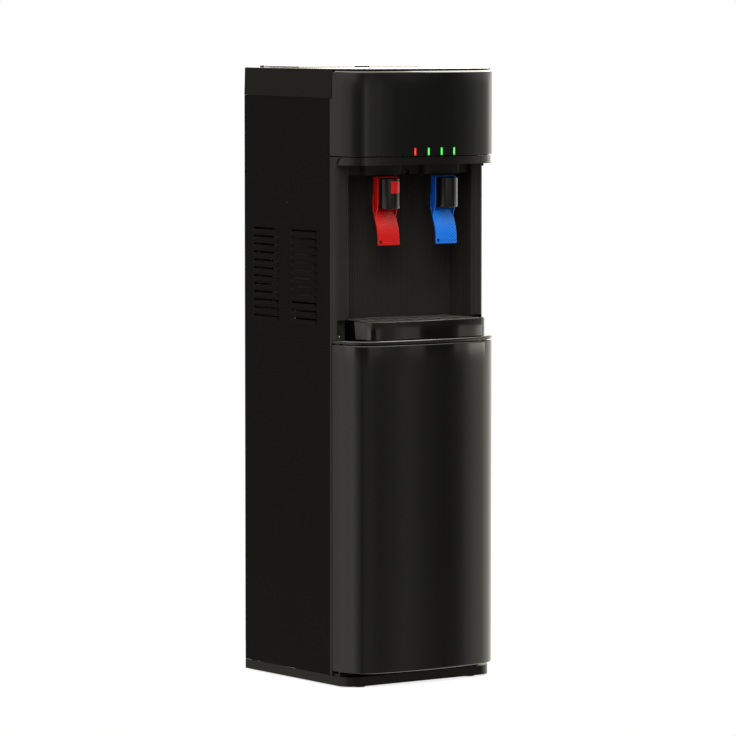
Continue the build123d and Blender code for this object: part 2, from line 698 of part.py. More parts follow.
def lever_pins():
    """Steel pivots of both levers, two to a tap."""
    pins = []
    reach = TAP_HALF + LEVER_GAP + LEVER_WALL - 0.4
    for x in (-TAP_X, TAP_X):
        for side in (-1, 1):
            inner, outer = sorted((x + side * (TAP_HALF - 8), x + side * reach))
            pins.append(cross_rod(inner, outer, LEVER_PIVOT_DEPTH, LEVER_PIVOT, LEVER_PIN_RADIUS))
    return group(*pins)


def tray_outline(inset, rear, z0, z1):
    """Prism on the plan of the drip tray front."""
    return bowed(
        TRAY_HALF - inset,
        rear,
        TRAY_CORNER - inset,
        TRAY_CORNER_DEPTH - inset,
        TRAY_DEPTH - inset,
        z0,
        z1,
    )


def drip_tray():
    """Pull-out tray: narrow basin behind, wider wrapped front."""
    tray = tray_outline(0, TRAY_WRAP - 3, TRAY_BOTTOM, TRAY_TOP)
    tray += block(-BASIN_HALF, BASIN_HALF, BASIN_REAR, TRAY_WRAP + 1, TRAY_BOTTOM, TRAY_TOP)
    room = tray_outline(TRAY_WALL, TRAY_WRAP + 2 * TRAY_WALL, TRAY_BOTTOM + TRAY_WALL, TRAY_TOP)
    room += block(
        -BASIN_HALF + TRAY_WALL,
        BASIN_HALF - TRAY_WALL,
        BASIN_REAR + TRAY_WALL,
        TRAY_WRAP + 2 * TRAY_WALL + 1,
        TRAY_BOTTOM + TRAY_WALL,
        TRAY_TOP,
    )
    tray -= room
    rear = TRAY_WRAP - 3
    slant = ((rear - 1, TRAY_BOTTOM), (rear + 5, TRAY_BOTTOM), (rear, TRAY_TOP), (rear - 1, TRAY_TOP))
    for side in (-1, 1):
        x0, x1 = sorted((side * (BASIN_HALF + 0.01), side * TRAY_HALF))
        tray -= side_profile(slant, x0, x1)
    seats = []
    for x in (-BASIN_HALF + TRAY_WALL, BASIN_HALF - TRAY_WALL - 3):
        seats.append(block(x, x + 3, BASIN_REAR + TRAY_WALL, 318, TRAY_BOTTOM + TRAY_WALL, TRAY_TOP - 4.3))
    return tray + seats


def drip_grille():
    """Slotted grille that lies in the tray."""
    half = BASIN_HALF - TRAY_WALL - 0.5
    rear = BASIN_REAR + TRAY_WALL + 0.5
    low = TRAY_TOP - 4.0
    high = TRAY_TOP - 0.6
    grille = bowed(half, rear, 16, 330, 334, low, high)
    slots = []
    for number in range(GRILLE_COLUMNS):
        x = (number - (GRILLE_COLUMNS - 1) / 2) * GRILLE_PITCH
        for d0, d1 in GRILLE_ROWS:
            slots.append(block(x - GRILLE_SLOT / 2, x + GRILLE_SLOT / 2, d0, d1, low, high))
    return grille - slots


def door_shell():
    """Door skin on the bowed plan, open at the rear."""
    door = outline(0, DOOR_REAR, DOOR_BOTTOM, DOOR_TOP)
    door -= outline(SKIN, DOOR_REAR, DOOR_BOTTOM + SKIN, DOOR_TOP - SKIN)
    door += upright(PIN_X, PIN_DEPTH, DOOR_BOTTOM, DOOR_BOTTOM + 14, BUSH_RADIUS + 1.6)
    door += upright(PIN_X, PIN_DEPTH, DOOR_TOP - 14, DOOR_TOP, BUSH_RADIUS + 1.6)
    door -= upright(PIN_X, PIN_DEPTH, DOOR_BOTTOM, DOOR_BOTTOM + 14, BUSH_RADIUS)
    door -= upright(PIN_X, PIN_DEPTH, DOOR_TOP - 14, DOOR_TOP, BUSH_RADIUS)
    return door


def door_liner():
    """Rear panel of the door, set inside the skin."""
    edge = SKIN + 0.3
    gap = 0.3
    low = DOOR_BOTTOM + SKIN + gap
    high = DOOR_TOP - SKIN - gap
    liner = block(-HALF + edge, HALF - edge, DOOR_REAR + 0.4, DOOR_REAR + 2.8, low, high)
    for height in (160, 300, 440):
        liner += block(-100, 100, DOOR_REAR + 2.8, DOOR_REAR + 9, height, height + 3)
    around = BUSH_RADIUS + 2.2
    liner -= upright(PIN_X, PIN_DEPTH, low, DOOR_BOTTOM + 15, around)
    return liner - upright(PIN_X, PIN_DEPTH, DOOR_TOP - 15, high, around)


def door_bushes():
    """Plain bushes in both ends of the door."""
    bushes = []
    for z0, z1 in ((DOOR_BOTTOM, DOOR_BOTTOM + 14), (DOOR_TOP - 14, DOOR_TOP)):
        outer = upright(PIN_X, PIN_DEPTH, z0, z1, BUSH_RADIUS)
        bushes.append(outer - upright(PIN_X, PIN_DEPTH, z0, z1, PIN_RADIUS + RUNNING_GAP))
    return group(*bushes)


def door_hinges():
    """Lower hinge on the base and upper hinge under the ledge."""
    left = PIN_X - 5
    front = PIN_DEPTH + 6
    lower = block(left, PIN_X + 24, FRAME_WEB_FRONT + 0.2, front, BASE_TOP, BASE_TOP + 3)
    lower += upright(PIN_X, PIN_DEPTH, BASE_TOP + 3, DOOR_BOTTOM + 12, PIN_RADIUS)
    upper = block(left, PIN_X + 14, FRAME_WEB_FRONT, front, DOOR_TOP + 0.5, LEDGE_BOTTOM)
    upper += upright(PIN_X, PIN_DEPTH, DOOR_TOP - 12, DOOR_TOP + 0.5, PIN_RADIUS)
    return group(lower, upper)


def door_catch():
    """Magnetic catch post on the base at the free side of the door."""
    post = block(136, 144, 262, 270, BASE_TOP, DOOR_BOTTOM - 1.4)
    return post + block(124, 150, 260, 274, BASE_TOP, BASE_TOP + 1.5)


def compartment_divider():
    """Sheet wall between the filters and the compressor, with its foot flange."""
    inside = HALF - 2
    low = FOOT_HEIGHT + 2
    front = DIVIDER_DEPTH + SHEET
    wall = block(-inside, inside, DIVIDER_DEPTH, front, low, SHELF_HEIGHT - SHEET)
    wall += block(-inside, inside, DIVIDER_DEPTH, DIVIDER_DEPTH + 14, low, low + SHEET)
    return wall - depth_rod(-124, DIVIDER_DEPTH, front, 403, 6)


def filter_manifold():
    """Head that carries both cartridges, with bores for their necks."""
    body = block(-96, 96, DIVIDER_DEPTH + SHEET, 236, MANIFOLD_BOTTOM, MANIFOLD_TOP)
    body = fillet(body.edges().filter_by(Axis.Z).group_by(Axis.Y)[0], 10)
    for x in (-FILTER_X, FILTER_X):
        body -= upright(x, FILTER_DEPTH, MANIFOLD_BOTTOM, MANIFOLD_TOP - 8, FILTER_NECK + RUNNING_GAP)
    body += block(-96, 96, DIVIDER_DEPTH + SHEET, DIVIDER_DEPTH + 4, MANIFOLD_TOP, MANIFOLD_TOP + 16)
    for x in (-92, 92):
        body += upright(x - math.copysign(10, x), 190, MANIFOLD_TOP, MANIFOLD_TOP + 10, 6)
    return body


def cartridge(x):
    """Filter cartridge with a grip at its foot and a neck for the manifold."""
    body = upright(x, FILTER_DEPTH, FILTER_BOTTOM, FILTER_SHOULDER, FILTER_RADIUS)
    body = fillet(body.edges().filter_by(GeomType.CIRCLE), 6)
    body += upright(x, FILTER_DEPTH, FILTER_SHOULDER, MANIFOLD_TOP - 9, FILTER_NECK)
    for turn in range(12):
        angle = math.radians(30 * turn)
        grip_x = x + FILTER_RADIUS * math.cos(angle)
        grip_d = FILTER_DEPTH - FILTER_RADIUS * math.sin(angle)
        body += upright(grip_x, grip_d, FILTER_BOTTOM + 8, FILTER_BOTTOM + 48, 1.6)
    return body


def inlet_valve():
    """Solenoid valve on the divider that lets mains water in."""
    body = block(-136, -112, DIVIDER_DEPTH + SHEET, 182, 420, 450)
    coil = cross_rod(-140, -108, 168, 474, 15)
    core = upright(-124, 168, 450, 470, 6)
    return body + core + coil


def inlet_fitting():
    """Plate at the back of the base with the push-in fitting of the water line."""
    plate = block(-136, -76, 16, 17.5, FOOT_HEIGHT + 2, 78)
    plate += block(-136, -76, 16, 32, FOOT_HEIGHT + 2, FOOT_HEIGHT + 3.5)
    plate -= depth_rod(HOT_X, 16, 17.5, DRAIN_HEIGHT, 5.3)
    body = depth_rod(-118, 3, 16, 44, 9) + depth_rod(-118, 16, 34, 44, 6.5)
    return plate + body - depth_rod(-118, 3, 17, 44, 3.3)


def water_tubes():
    """Water lines: supply, filter feed, tank rise, one to each tap, and the drain."""
    supply_points = (
        (-118, 34, 44),
        (-118, 60, 44),
        (-118, 120, 60),
        (-124, 140, 120),
        (-124, 140, 400),
        (-124, 166, 408),
        (-124, 166, 420),
    )
    feed_points = (
        (-82, 190, 542),
        (-82, 190, 562),
        (-112, 190, 562),
        (-147, 190, 545),
        (-147, 172, 436),
        (-136, 172, 436),
    )
    rise_points = (
        (82, 190, 542),
        (82, 190, 570),
        (140, 204, 600),
        (140, 204, 958),
        (COLD_X, 150, 980),
        (COLD_X, COLD_DEPTH, 978),
        (COLD_X, COLD_DEPTH, COLD_TOP + 37),
    )
    hot_points = (
        (HOT_X, HOT_DEPTH, 818),
        (HOT_X, HOT_DEPTH, 900),
        (-TAP_X, 240, 905),
        (-TAP_X, 240, BAY_CEILING + SKIN),
    )
    cold_points = (
        (COLD_X + COLD_OUTLET, COLD_DEPTH, COLD_TOP + 37),
        (COLD_X + COLD_OUTLET, COLD_DEPTH, 985),
        (TAP_X, 240, 980),
        (TAP_X, 240, BAY_CEILING + SKIN),
    )
    lines = [tube(supply_points, TUBE_RADIUS, 7), tube(feed_points, TUBE_RADIUS, 5)]
    for points in (rise_points, hot_points, cold_points):
        lines.append(tube(points, TUBE_RADIUS, 7))
    drain_points = (
        (HOT_X, HOT_DEPTH, HOT_BOTTOM),
        (HOT_X, HOT_DEPTH, DRAIN_HEIGHT),
        (HOT_X, 4, DRAIN_HEIGHT),
    )
    drain = tube(drain_points, DRAIN_RADIUS, 12)
    lines.append(drain - depth_rod(HOT_X, 4, 34, DRAIN_HEIGHT, 3))
    return group(*lines)


def compressor():
    """Sealed compressor with its foot plate."""
    shell = upright(COMPRESSOR_X, COMPRESSOR_DEPTH, 22, 178, COMPRESSOR_RADIUS)
    shell = fillet(shell.edges().filter_by(GeomType.CIRCLE), 34)
    rim = upright(COMPRESSOR_X, COMPRESSOR_DEPTH, 96, 101, COMPRESSOR_RADIUS + 2.5)
    plate = block(COMPRESSOR_X - 85, COMPRESSOR_X + 85, 44, 124, 19, 22.2)
    for x, d in compressor_bolts():
        plate -= upright(x, d, 19, 22.2, 5.5)
    return shell + rim + plate


def compressor_bolts():
    """Places of the four rubber mounts."""
    return [(COMPRESSOR_X + sx * 74, COMPRESSOR_DEPTH + sd * 30) for sx in (-1, 1) for sd in (-1, 1)]


def compressor_mounts():
    """Four grooved rubber mounts on the floor of the base."""
    mounts = []
    for x, d in compressor_bolts():
        mount = upright(x, d, FOOT_HEIGHT + 2, 18.9, 9) + upright(x, d, 18.9, 22.4, 5.4)
        mounts.append(mount + upright(x, d, 22.4, 26, 9))
    return group(*mounts)


def relay_box():
    """Starting relay cover on the side of the compressor."""
    x = COMPRESSOR_X + COMPRESSOR_RADIUS
    box = block(x - 2, x + 20, 66, 102, 70, 128)
    box = fillet(box.edges().filter_by(Axis.Z).group_by(Axis.X)[-1], 4)
    return box - upright(COMPRESSOR_X, COMPRESSOR_DEPTH, 60, 140, COMPRESSOR_RADIUS + 2.6)


def condenser():
    """Wire-on-tube condenser on the back."""
    points = []
    for number in range(CONDENSER_PASSES):
        z = CONDENSER_BOTTOM + number * CONDENSER_PITCH
        side = -1 if number % 2 == 0 else 1
        ends = (side * CONDENSER_HALF, -side * CONDENSER_HALF)
        points.append((ends[0], CONDENSER_DEPTH, z))
        points.append((ends[1], CONDENSER_DEPTH, z))
    coil = tube(points, 2.4, CONDENSER_PITCH / 2 - 0.5)
    high = CONDENSER_BOTTOM + (CONDENSER_PASSES - 1) * CONDENSER_PITCH
    wires = []
    for number in range(20):
        x = (number - 9.5) * 12
        for d in (CONDENSER_DEPTH - 3.2, CONDENSER_DEPTH + 3.2):
            wires.append(upright(x, d, CONDENSER_BOTTOM - 8, high + 8, 0.8))
    return group(coil, *wires)


def filter_dryer():
    """Copper dryer in the liquid line."""
    body = upright(118, 40, 190, 280, 9)
    body = fillet(body.edges().filter_by(GeomType.CIRCLE), 5)
    return body


def copper_lines():
    """Discharge, liquid, capillary and suction lines of the cold circuit."""
    x = COMPRESSOR_X
    high = CONDENSER_BOTTOM + (CONDENSER_PASSES - 1) * CONDENSER_PITCH
    discharge_points = (
        (x - 50, 60, 150),
        (x - 80, 40, 160),
        (-118, 30, 200),
        (-137, 12, 300),
        (-137, CONDENSER_DEPTH, CONDENSER_BOTTOM),
        (-CONDENSER_HALF, CONDENSER_DEPTH, CONDENSER_BOTTOM),
    )
    liquid_points = (
        (CONDENSER_HALF, CONDENSER_DEPTH, high),
        (138, CONDENSER_DEPTH, high),
        (138, CONDENSER_DEPTH, 296),
        (118, 40, 292),
        (118, 40, 280),
    )
    capillary_points = (
        (118, 40, 190),
        (118, 40, 172),
        (134, 44, 172),
        (134, 60, 260),
        (134, 60, FOAM_BOTTOM),
    )
    suction_points = (
        (x + 40, 110, 150),
        (70, 128, 180),
        (130, 128, 230),
        (145, 120, 300),
        (145, 110, FOAM_BOTTOM),
    )
    shell = upright(x, COMPRESSOR_DEPTH, 22, 178, COMPRESSOR_RADIUS)
    shell = fillet(shell.edges().filter_by(GeomType.CIRCLE), 34)
    return group(
        tube(discharge_points, COPPER_RADIUS, 5) - shell,
        tube(liquid_points, COPPER_RADIUS - 0.6, 3),
        tube(capillary_points, 1.5, 5),
        tube(suction_points, COPPER_RADIUS, 9) - shell,
    )


def vessel(x, d, z0, z1, radius, corner):
    """Round tank of thin sheet with rounded ends."""
    outside = upright(x, d, z0, z1, radius)
    outside = fillet(outside.edges().filter_by(GeomType.CIRCLE), corner)
    inside = upright(x, d, z0 + TANK_WALL, z1 - TANK_WALL, radius - TANK_WALL)
    inside = fillet(inside.edges().filter_by(GeomType.CIRCLE), corner - TANK_WALL)
    return outside - inside


def cold_tank():
    """Stainless cold tank with its inlet and outlet pipes."""
    tank = vessel(COLD_X, COLD_DEPTH, COLD_BOTTOM, COLD_TOP, COLD_RADIUS, 14)
    for x in (COLD_X, COLD_X + COLD_OUTLET):
        tank += upright(x, COLD_DEPTH, COLD_TOP, COLD_TOP + 37, 6)
        tank -= upright(x, COLD_DEPTH, COLD_TOP - TANK_WALL, COLD_TOP + 37, 4.5)
    return tank


def cold_tank_insulation():
    """Foam case round the cold tank and its coil."""
    half = 88
    foam = block(COLD_X - half, COLD_X + half, COLD_DEPTH - 88, COLD_DEPTH + 88, FOAM_BOTTOM, 955)
    foam = fillet(foam.edges().filter_by(Axis.Z), 12)
    foam -= upright(COLD_X, COLD_DEPTH, 744, 926, COLD_RADIUS + 11)
    for x in (COLD_X, COLD_X + COLD_OUTLET):
        foam -= upright(x, COLD_DEPTH, 926, 955, 6.3)
    return foam


def evaporator_coil():
    """Copper coil wound on the cold tank, as half turns that join in line."""
    wound = COLD_RADIUS + 5.0
    pitch = 14.0
    turns = 9
    low = 765.0
    centre_y = BACK - COLD_DEPTH
    arcs = []
    for half_turn in range(2 * turns):
        side = 1 if half_turn % 2 == 0 else -1
        z0 = low + half_turn * pitch / 2
        z1 = z0 + pitch / 2
        start = (COLD_X + side * wound, centre_y, z0)
        end = (COLD_X - side * wound, centre_y, z1)
        middle = (COLD_X, centre_y + side * wound, (z0 + z1) / 2)
        arcs.append(ThreePointArc(start, middle, end))
    path = Wire(arcs)
    return sweep(Plane(origin=path @ 0, z_dir=path % 0) * Circle(4.0), path=path)


def hot_tank():
    """Stainless hot tank with its outlet and the hole of its drain."""
    tank = vessel(HOT_X, HOT_DEPTH, HOT_BOTTOM, HOT_TOP, HOT_RADIUS, 10)
    tank += upright(HOT_X, HOT_DEPTH, HOT_TOP, HOT_TOP + 13, 5)
    tank -= upright(HOT_X, HOT_DEPTH, HOT_TOP - TANK_WALL, HOT_TOP + 13, 3.5)
    return tank - upright(HOT_X, HOT_DEPTH, HOT_BOTTOM, HOT_BOTTOM + TANK_WALL, 3)


def band_heater():
    """Band heater clamped round the hot tank, with its terminals."""
    band = upright(HOT_X, HOT_DEPTH, 690, 735, HOT_RADIUS + 3)
    band -= upright(HOT_X, HOT_DEPTH, 690, 735, HOT_RADIUS)
    face = HOT_DEPTH + HOT_RADIUS
    return band + block(HOT_X - 8, HOT_X + 8, face + 2, face + 7, 700, 725)


def hot_tank_jacket():
    """Insulating jacket round the hot tank."""
    jacket = upright(HOT_X, HOT_DEPTH, 651, 812, HOT_RADIUS + 13)
    jacket -= upright(HOT_X, HOT_DEPTH, 651, 806, HOT_RADIUS + 8)
    return jacket - upright(HOT_X, HOT_DEPTH, 806, 812, 5.3)


def tank_shelf():
    """Sheet shelf that carries both tanks, with legs and a turned-down front edge."""
    inside = HALF - SHEET
    shelf = block(-inside, inside, 18, 198, SHELF_HEIGHT - SHEET, SHELF_HEIGHT)
    shelf += block(-inside, inside, 198 - SHEET, 198, SHELF_HEIGHT - 20, SHELF_HEIGHT)
    legs = [block(x - 12, x + 12, d, d + 2, SHELF_HEIGHT, FOAM_BOTTOM) for x in (0, 120) for d in (40, 176)]
    rests = []
    for d in (HOT_DEPTH - 26, HOT_DEPTH + 24):
        rests.append(block(HOT_X - 52, HOT_X + 52, d, d + 2, SHELF_HEIGHT, 651))
        rests.append(block(HOT_X - 20, HOT_X + 20, d, d + 2, 651, 655))
    holes = [
        upright(HOT_X, HOT_DEPTH, SHELF_HEIGHT - SHEET, SHELF_HEIGHT, DRAIN_RADIUS + 0.5),
        upright(134, 60, SHELF_HEIGHT - SHEET, SHELF_HEIGHT, 2),
        upright(145, 113, SHELF_HEIGHT - SHEET, SHELF_HEIGHT, 4.5),
    ]
    return shelf + legs + rests - holes


def control_board():
    """Board behind the head that lights the indicators."""
    board = block(-66, 64, 318, 319.6, 899, 956)
    lamps = [block(x - 2.5, x + 2.5, 319.6, 323, INDICATOR_LOW + 4, INDICATOR_HIGH - 2) for x in INDICATOR_X]
    posts = [upright(x, 316, HEAD_BOTTOM + SKIN, 930, 3) for x in (-58, 56)]
    chips = [block(x, x + 9, 316.4, 318, 930, 939) for x in (-30, 10)]
    return board + lamps + posts + chips


def switch_housing():
    """Plate on the back for the switches and the cable gland."""
    plate = block(-2, 118, BACK_PANEL_DEPTH - 3, BACK_PANEL_DEPTH, 905, 975)
    plate = fillet(plate.edges().filter_by(Axis.Y), 5)
    for x in SWITCH_X:
        plate += block(x - 13, x + 13, BACK_PANEL_DEPTH - 5, BACK_PANEL_DEPTH - 3, 930, 966)
        plate -= block(x - 10.3, x + 10.3, BACK_PANEL_DEPTH - 5, BACK_PANEL_DEPTH, 931.5, 964.5)
        plate -= cross_rod(x - 12.5, x + 12.5, SWITCH_PIVOT_DEPTH, SWITCH_PIVOT, 1.5)
    return plate - depth_rod(GLAND_X, BACK_PANEL_DEPTH - 3, BACK_PANEL_DEPTH, GLAND_HEIGHT, GLAND_BORE)


def rocker(x):
    """Rocker of a switch with its pivot stubs."""
    body = side_profile(
        ((13.6, 933.2), (6.8, 933.2), (9.4, 948), (9.4, 962.8), (13.6, 962.8)), x - 10, x + 10
    )
    return body + cross_rod(x - 12.4, x + 12.4, SWITCH_PIVOT_DEPTH, SWITCH_PIVOT, 1.45)


def cable_gland():
    """Gland where the mains lead would enter."""
    plate_rear = BACK_PANEL_DEPTH - 3
    gland = depth_rod(GLAND_X, plate_rear - 6, plate_rear, GLAND_HEIGHT, 9)
    gland += depth_rod(GLAND_X, plate_rear - 10, plate_rear - 6, GLAND_HEIGHT, 6.5)
    return gland - depth_rod(GLAND_X, 0, BACK_PANEL_DEPTH - 3, GLAND_HEIGHT, GLAND_BORE)


def drain_cap():
    """Screw cap on the drain of the hot tank."""
    low = DRAIN_HEIGHT
    cap = depth_rod(HOT_X, 1, 14, low, 8.5) - depth_rod(HOT_X, 3.5, 14, low, DRAIN_RADIUS + RUNNING_GAP)
    for turn in range(10):
        angle = math.radians(36 * turn)
        cap += depth_rod(HOT_X + 8.3 * math.cos(angle), 1, 13, low + 8.3 * math.sin(angle), 1.2)
    return cap


def panel_screws():
    """Pan head screws of the side and back panels."""
    screws = []
    for side in (-1, 1):
        inner, outer = sorted((side * (HALF - 3.5), side * (HALF + 0.9)))
        screws.append(cross_rod(inner, outer, SIDE_SCREW_DEPTH, SIDE_SCREW_HEIGHT, 1.6))
        for z in BACK_SCREW_HEIGHTS:
            x = side * (HALF - 9)
            head = depth_rod(x, BACK_PANEL_DEPTH - 2, BACK_PANEL_DEPTH, z, 3.6)
            screws.append(head + depth_rod(x, BACK_PANEL_DEPTH, BACK_PANEL_DEPTH + 8, z, 1.8))
    return group(*screws)


def save(name, shape):
    """Write one piece as its own file."""
    export_step(shape, f"parts/{name}.step")


def main():
    """Build every piece and write it."""
    os.makedirs("parts", exist_ok=True)
    left_panel = side_panel()
    pieces = {
        "base_pan": base_pan(),
        "rubber_feet": rubber_feet(),
        "left_side_panel": left_panel,
        "right_side_panel": mirrored(left_panel),
        "back_panel": back_panel(),
        "top_cover": top_cover(),
        "top_lid": top_lid(),
        "lid_pins": lid_pins(),
        "front_frame": front_frame(),
        "head_fascia": head_fascia(),
        "chin_trim": chin_trim(),
        "ledge": ledge(),
        "splash_panel": splash_panel(),
        "tap_hoods": tap_hoods(),
        "night_light": night_light(),
        "red_indicator": indicator(INDICATOR_X[0]),
        "green_indicators": group(*[indicator(x) for x in INDICATOR_X[1:]]),
        "control_board": control_board(),
        "hot_tap_body": hot_tap_body(),
        "cold_tap_body": tap_body(TAP_X),
        "tap_valves": tap_valves(),
        "hot_lever": lever(-TAP_X),
        "cold_lever": lever(TAP_X),
        "hot_plunger": plunger(-TAP_X),
        "cold_plunger": plunger(TAP_X),
        "hot_safety_button": hot_safety_button(),
        "lever_pins": lever_pins(),
        "drip_tray": drip_tray(),
        "drip_grille": drip_grille(),
        "door_shell": door_shell(),
        "door_liner": door_liner(),
        "door_bushes": door_bushes(),
        "door_hinges": door_hinges(),
        "door_catch": door_catch(),
        "compartment_divider": compartment_divider(),
        "filter_manifold": filter_manifold(),
        "sediment_filter": cartridge(-FILTER_X),
        "carbon_filter": cartridge(FILTER_X),
        "inlet_valve": inlet_valve(),
        "inlet_fitting": inlet_fitting(),
        "water_tubes": water_tubes(),
        "compressor": compressor(),
        "compressor_mounts": compressor_mounts(),
        "relay_box": relay_box(),
        "condenser": condenser(),
        "filter_dryer": filter_dryer(),
        "copper_lines": copper_lines(),
        "cold_tank": cold_tank(),
        "cold_tank_insulation": cold_tank_insulation(),
        "evaporator_coil": evaporator_coil(),
        "hot_tank": hot_tank(),
        "band_heater": band_heater(),
        "hot_tank_jacket": hot_tank_jacket(),
        "tank_shelf": tank_shelf(),
        "switch_housing": switch_housing(),
        "hot_switch": rocker(SWITCH_X[0]),
        "cold_switch": rocker(SWITCH_X[1]),
        "cable_gland": cable_gland(),
        "drain_cap": drain_cap(),
        "panel_screws": panel_screws(),
    }
    for name, shape in pieces.items():
        save(name, shape)


main()
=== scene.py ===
"""Bottleless water cooler: finishes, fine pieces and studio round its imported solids."""

from __future__ import annotations

import json
import logging
import math
from collections.abc import Callable, Iterable, Sequence
from dataclasses import dataclass
from enum import Enum

import bmesh
import bpy
from mathutils import Matrix, Vector

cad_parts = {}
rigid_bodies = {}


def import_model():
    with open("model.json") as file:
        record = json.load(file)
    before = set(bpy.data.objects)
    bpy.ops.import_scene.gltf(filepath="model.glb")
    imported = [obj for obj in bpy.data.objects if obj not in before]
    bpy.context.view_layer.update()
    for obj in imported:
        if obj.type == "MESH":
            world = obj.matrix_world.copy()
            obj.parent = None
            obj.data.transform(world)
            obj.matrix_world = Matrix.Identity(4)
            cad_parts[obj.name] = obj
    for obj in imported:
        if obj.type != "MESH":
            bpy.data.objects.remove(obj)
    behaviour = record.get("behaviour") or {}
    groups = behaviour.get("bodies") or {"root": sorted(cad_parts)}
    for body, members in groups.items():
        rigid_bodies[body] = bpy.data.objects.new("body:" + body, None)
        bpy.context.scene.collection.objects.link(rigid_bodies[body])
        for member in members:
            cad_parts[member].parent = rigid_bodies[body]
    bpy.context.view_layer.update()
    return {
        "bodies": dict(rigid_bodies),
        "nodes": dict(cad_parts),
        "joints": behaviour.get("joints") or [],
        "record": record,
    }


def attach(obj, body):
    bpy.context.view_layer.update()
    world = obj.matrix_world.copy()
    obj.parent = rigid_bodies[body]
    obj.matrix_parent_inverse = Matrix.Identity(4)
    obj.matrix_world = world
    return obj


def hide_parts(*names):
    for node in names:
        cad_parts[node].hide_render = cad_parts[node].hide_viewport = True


LOG = logging.getLogger("cooler")

MM = 0.001
TAP_X = 60.0
BACK = 172.5
"""Millimetres from the middle of the cabinet to its back plane."""

Ring = list[tuple[float, float]]
Point = tuple[float, float, float]
Grid = list[list[int]]
Socket = bpy.types.NodeSocket
Feed = Socket | float | Sequence[float]


# Finishes


class Grain(Enum):
    """How the skin of a finish is worked."""

    GLOSS = "polished mould, faint long ripple"
    SPARK = "fine spark-eroded mould texture"
    HATCH = "fine crossing lines for grip"
    POWDER = "baked powder paint"
    BRUSHED = "brushed sheet"
    DRAWN = "drawn bar or tube"
    SPANGLE = "galvanised sheet"
    CELLS = "expanded foam"
    FELT = "needled felt"
    CLEAR = "clear moulding"


HATCH_LINES = 245
HATCH_LEAN = 0.95
SPANGLES = 90
CELL_RELIEFS = {Grain.SPANGLE: (160, 0.00002), Grain.CELLS: (420, 0.0003)}
"""Cells in a metre, and depth in metres."""
NOISE_RELIEFS = {
    Grain.GLOSS: (0.00002, 55, 1.0),
    Grain.SPARK: (0.00003, 1500, 3.0),
    Grain.POWDER: (0.00004, 900, 3.0),
    Grain.BRUSHED: (0.00002, 900, 2.0, (1, 1, 0.02)),
    Grain.DRAWN: (0.00001, 700, 2.0, (0.05, 1, 1)),
    Grain.FELT: (0.0004, 800, 5.0),
    Grain.CLEAR: (0.00001, 30, 1.0),
}
"""Depth in metres, repeats in a metre, octaves, and the stretch of streaks."""


def grey(level: float) -> tuple[float, ...]:
    """Opaque grey of a level."""
    return (level, level, level, 1)


def node_material(name: str) -> bpy.types.Material:
    """Add a node material.

    Args:
        name: its name.

    Returns:
        The new material.
    """
    material = bpy.data.materials.new(name)
    material.use_nodes = True
    return material


@dataclass(frozen=True)
class Finish:
    """One finish of the cooler, made into a node material on first use."""

    slot: str
    colour: Point
    roughness: float
    grain: Grain
    metallic: float = 0.0
    specular: float = 0.5
    glow: float = 0.0
    tone: float = 0.12
    relief: float = 1.0
    listed: str = ""

    def material(self) -> bpy.types.Material:
        """Build the material, or give the one already built.

        Returns:
            The node material of this finish.
        """
        name = f"finish_{self.slot}"
        known = bpy.data.materials.get(name)
        if not known:
            known = node_material(name)
            Recipe(known.node_tree, self).mix()
        return known


@dataclass
class Net:
    """Node tree with short ways to add nodes and feed their inputs."""

    tree: bpy.types.NodeTree

    def feed(self, node: bpy.types.Node, feeds: dict[str | int, Feed]) -> None:
        """Link inputs to sockets, or give them values.

        Args:
            node: node that has the inputs.
            feeds: what each input gets.
        """
        for name, part in feeds.items():
            if isinstance(part, Socket):
                self.tree.links.new(part, node.inputs[name])
            else:
                node.inputs[name].default_value = part

    def shade(self, feeds: dict[str | int, Feed]) -> None:
        """Feed the shader of the material."""
        self.feed(self.tree.nodes["Principled BSDF"], feeds)

    def node(self, kind: str, feeds: dict[str | int, Feed] | None = None, **settings: object) -> bpy.types.Node:
        """Add a node.

        Args:
            kind: node type without the ShaderNode prefix.
            feeds: what each input gets.
            settings: node attributes.

        Returns:
            The new node.
        """
        made = self.tree.nodes.new(f"ShaderNode{kind}")
        for name, value in settings.items():
            setattr(made, name, value)
        self.feed(made, feeds or {})
        return made

    def maths(self, operation: str, *parts: Feed) -> Socket:
        """Result of a maths node."""
        return self.node("Math", dict(enumerate(parts)), operation=operation).outputs[0]

    def blend(self, share: Feed, first: Feed, second: Feed) -> Socket:
        """Colour that goes from the first to the second with the share."""
        return self.node("Mix", {"Factor": share, "A": first, "B": second}, data_type="RGBA").outputs["Result"]

    def spread(self, source: Socket, low: float, high: float, start: float = 0.3, end: float = 0.7) -> Socket:
        """Map a range of a factor to another.

        Args:
            source: factor to map.
            low: value at the start.
            high: value at the end.
            start: factor where the range starts.
            end: factor where it ends.

        Returns:
            The mapped value.
        """
        feeds = {"Value": source, "From Min": start, "From Max": end, "To Min": low, "To Max": high}
        return self.node("MapRange", feeds).outputs["Result"]


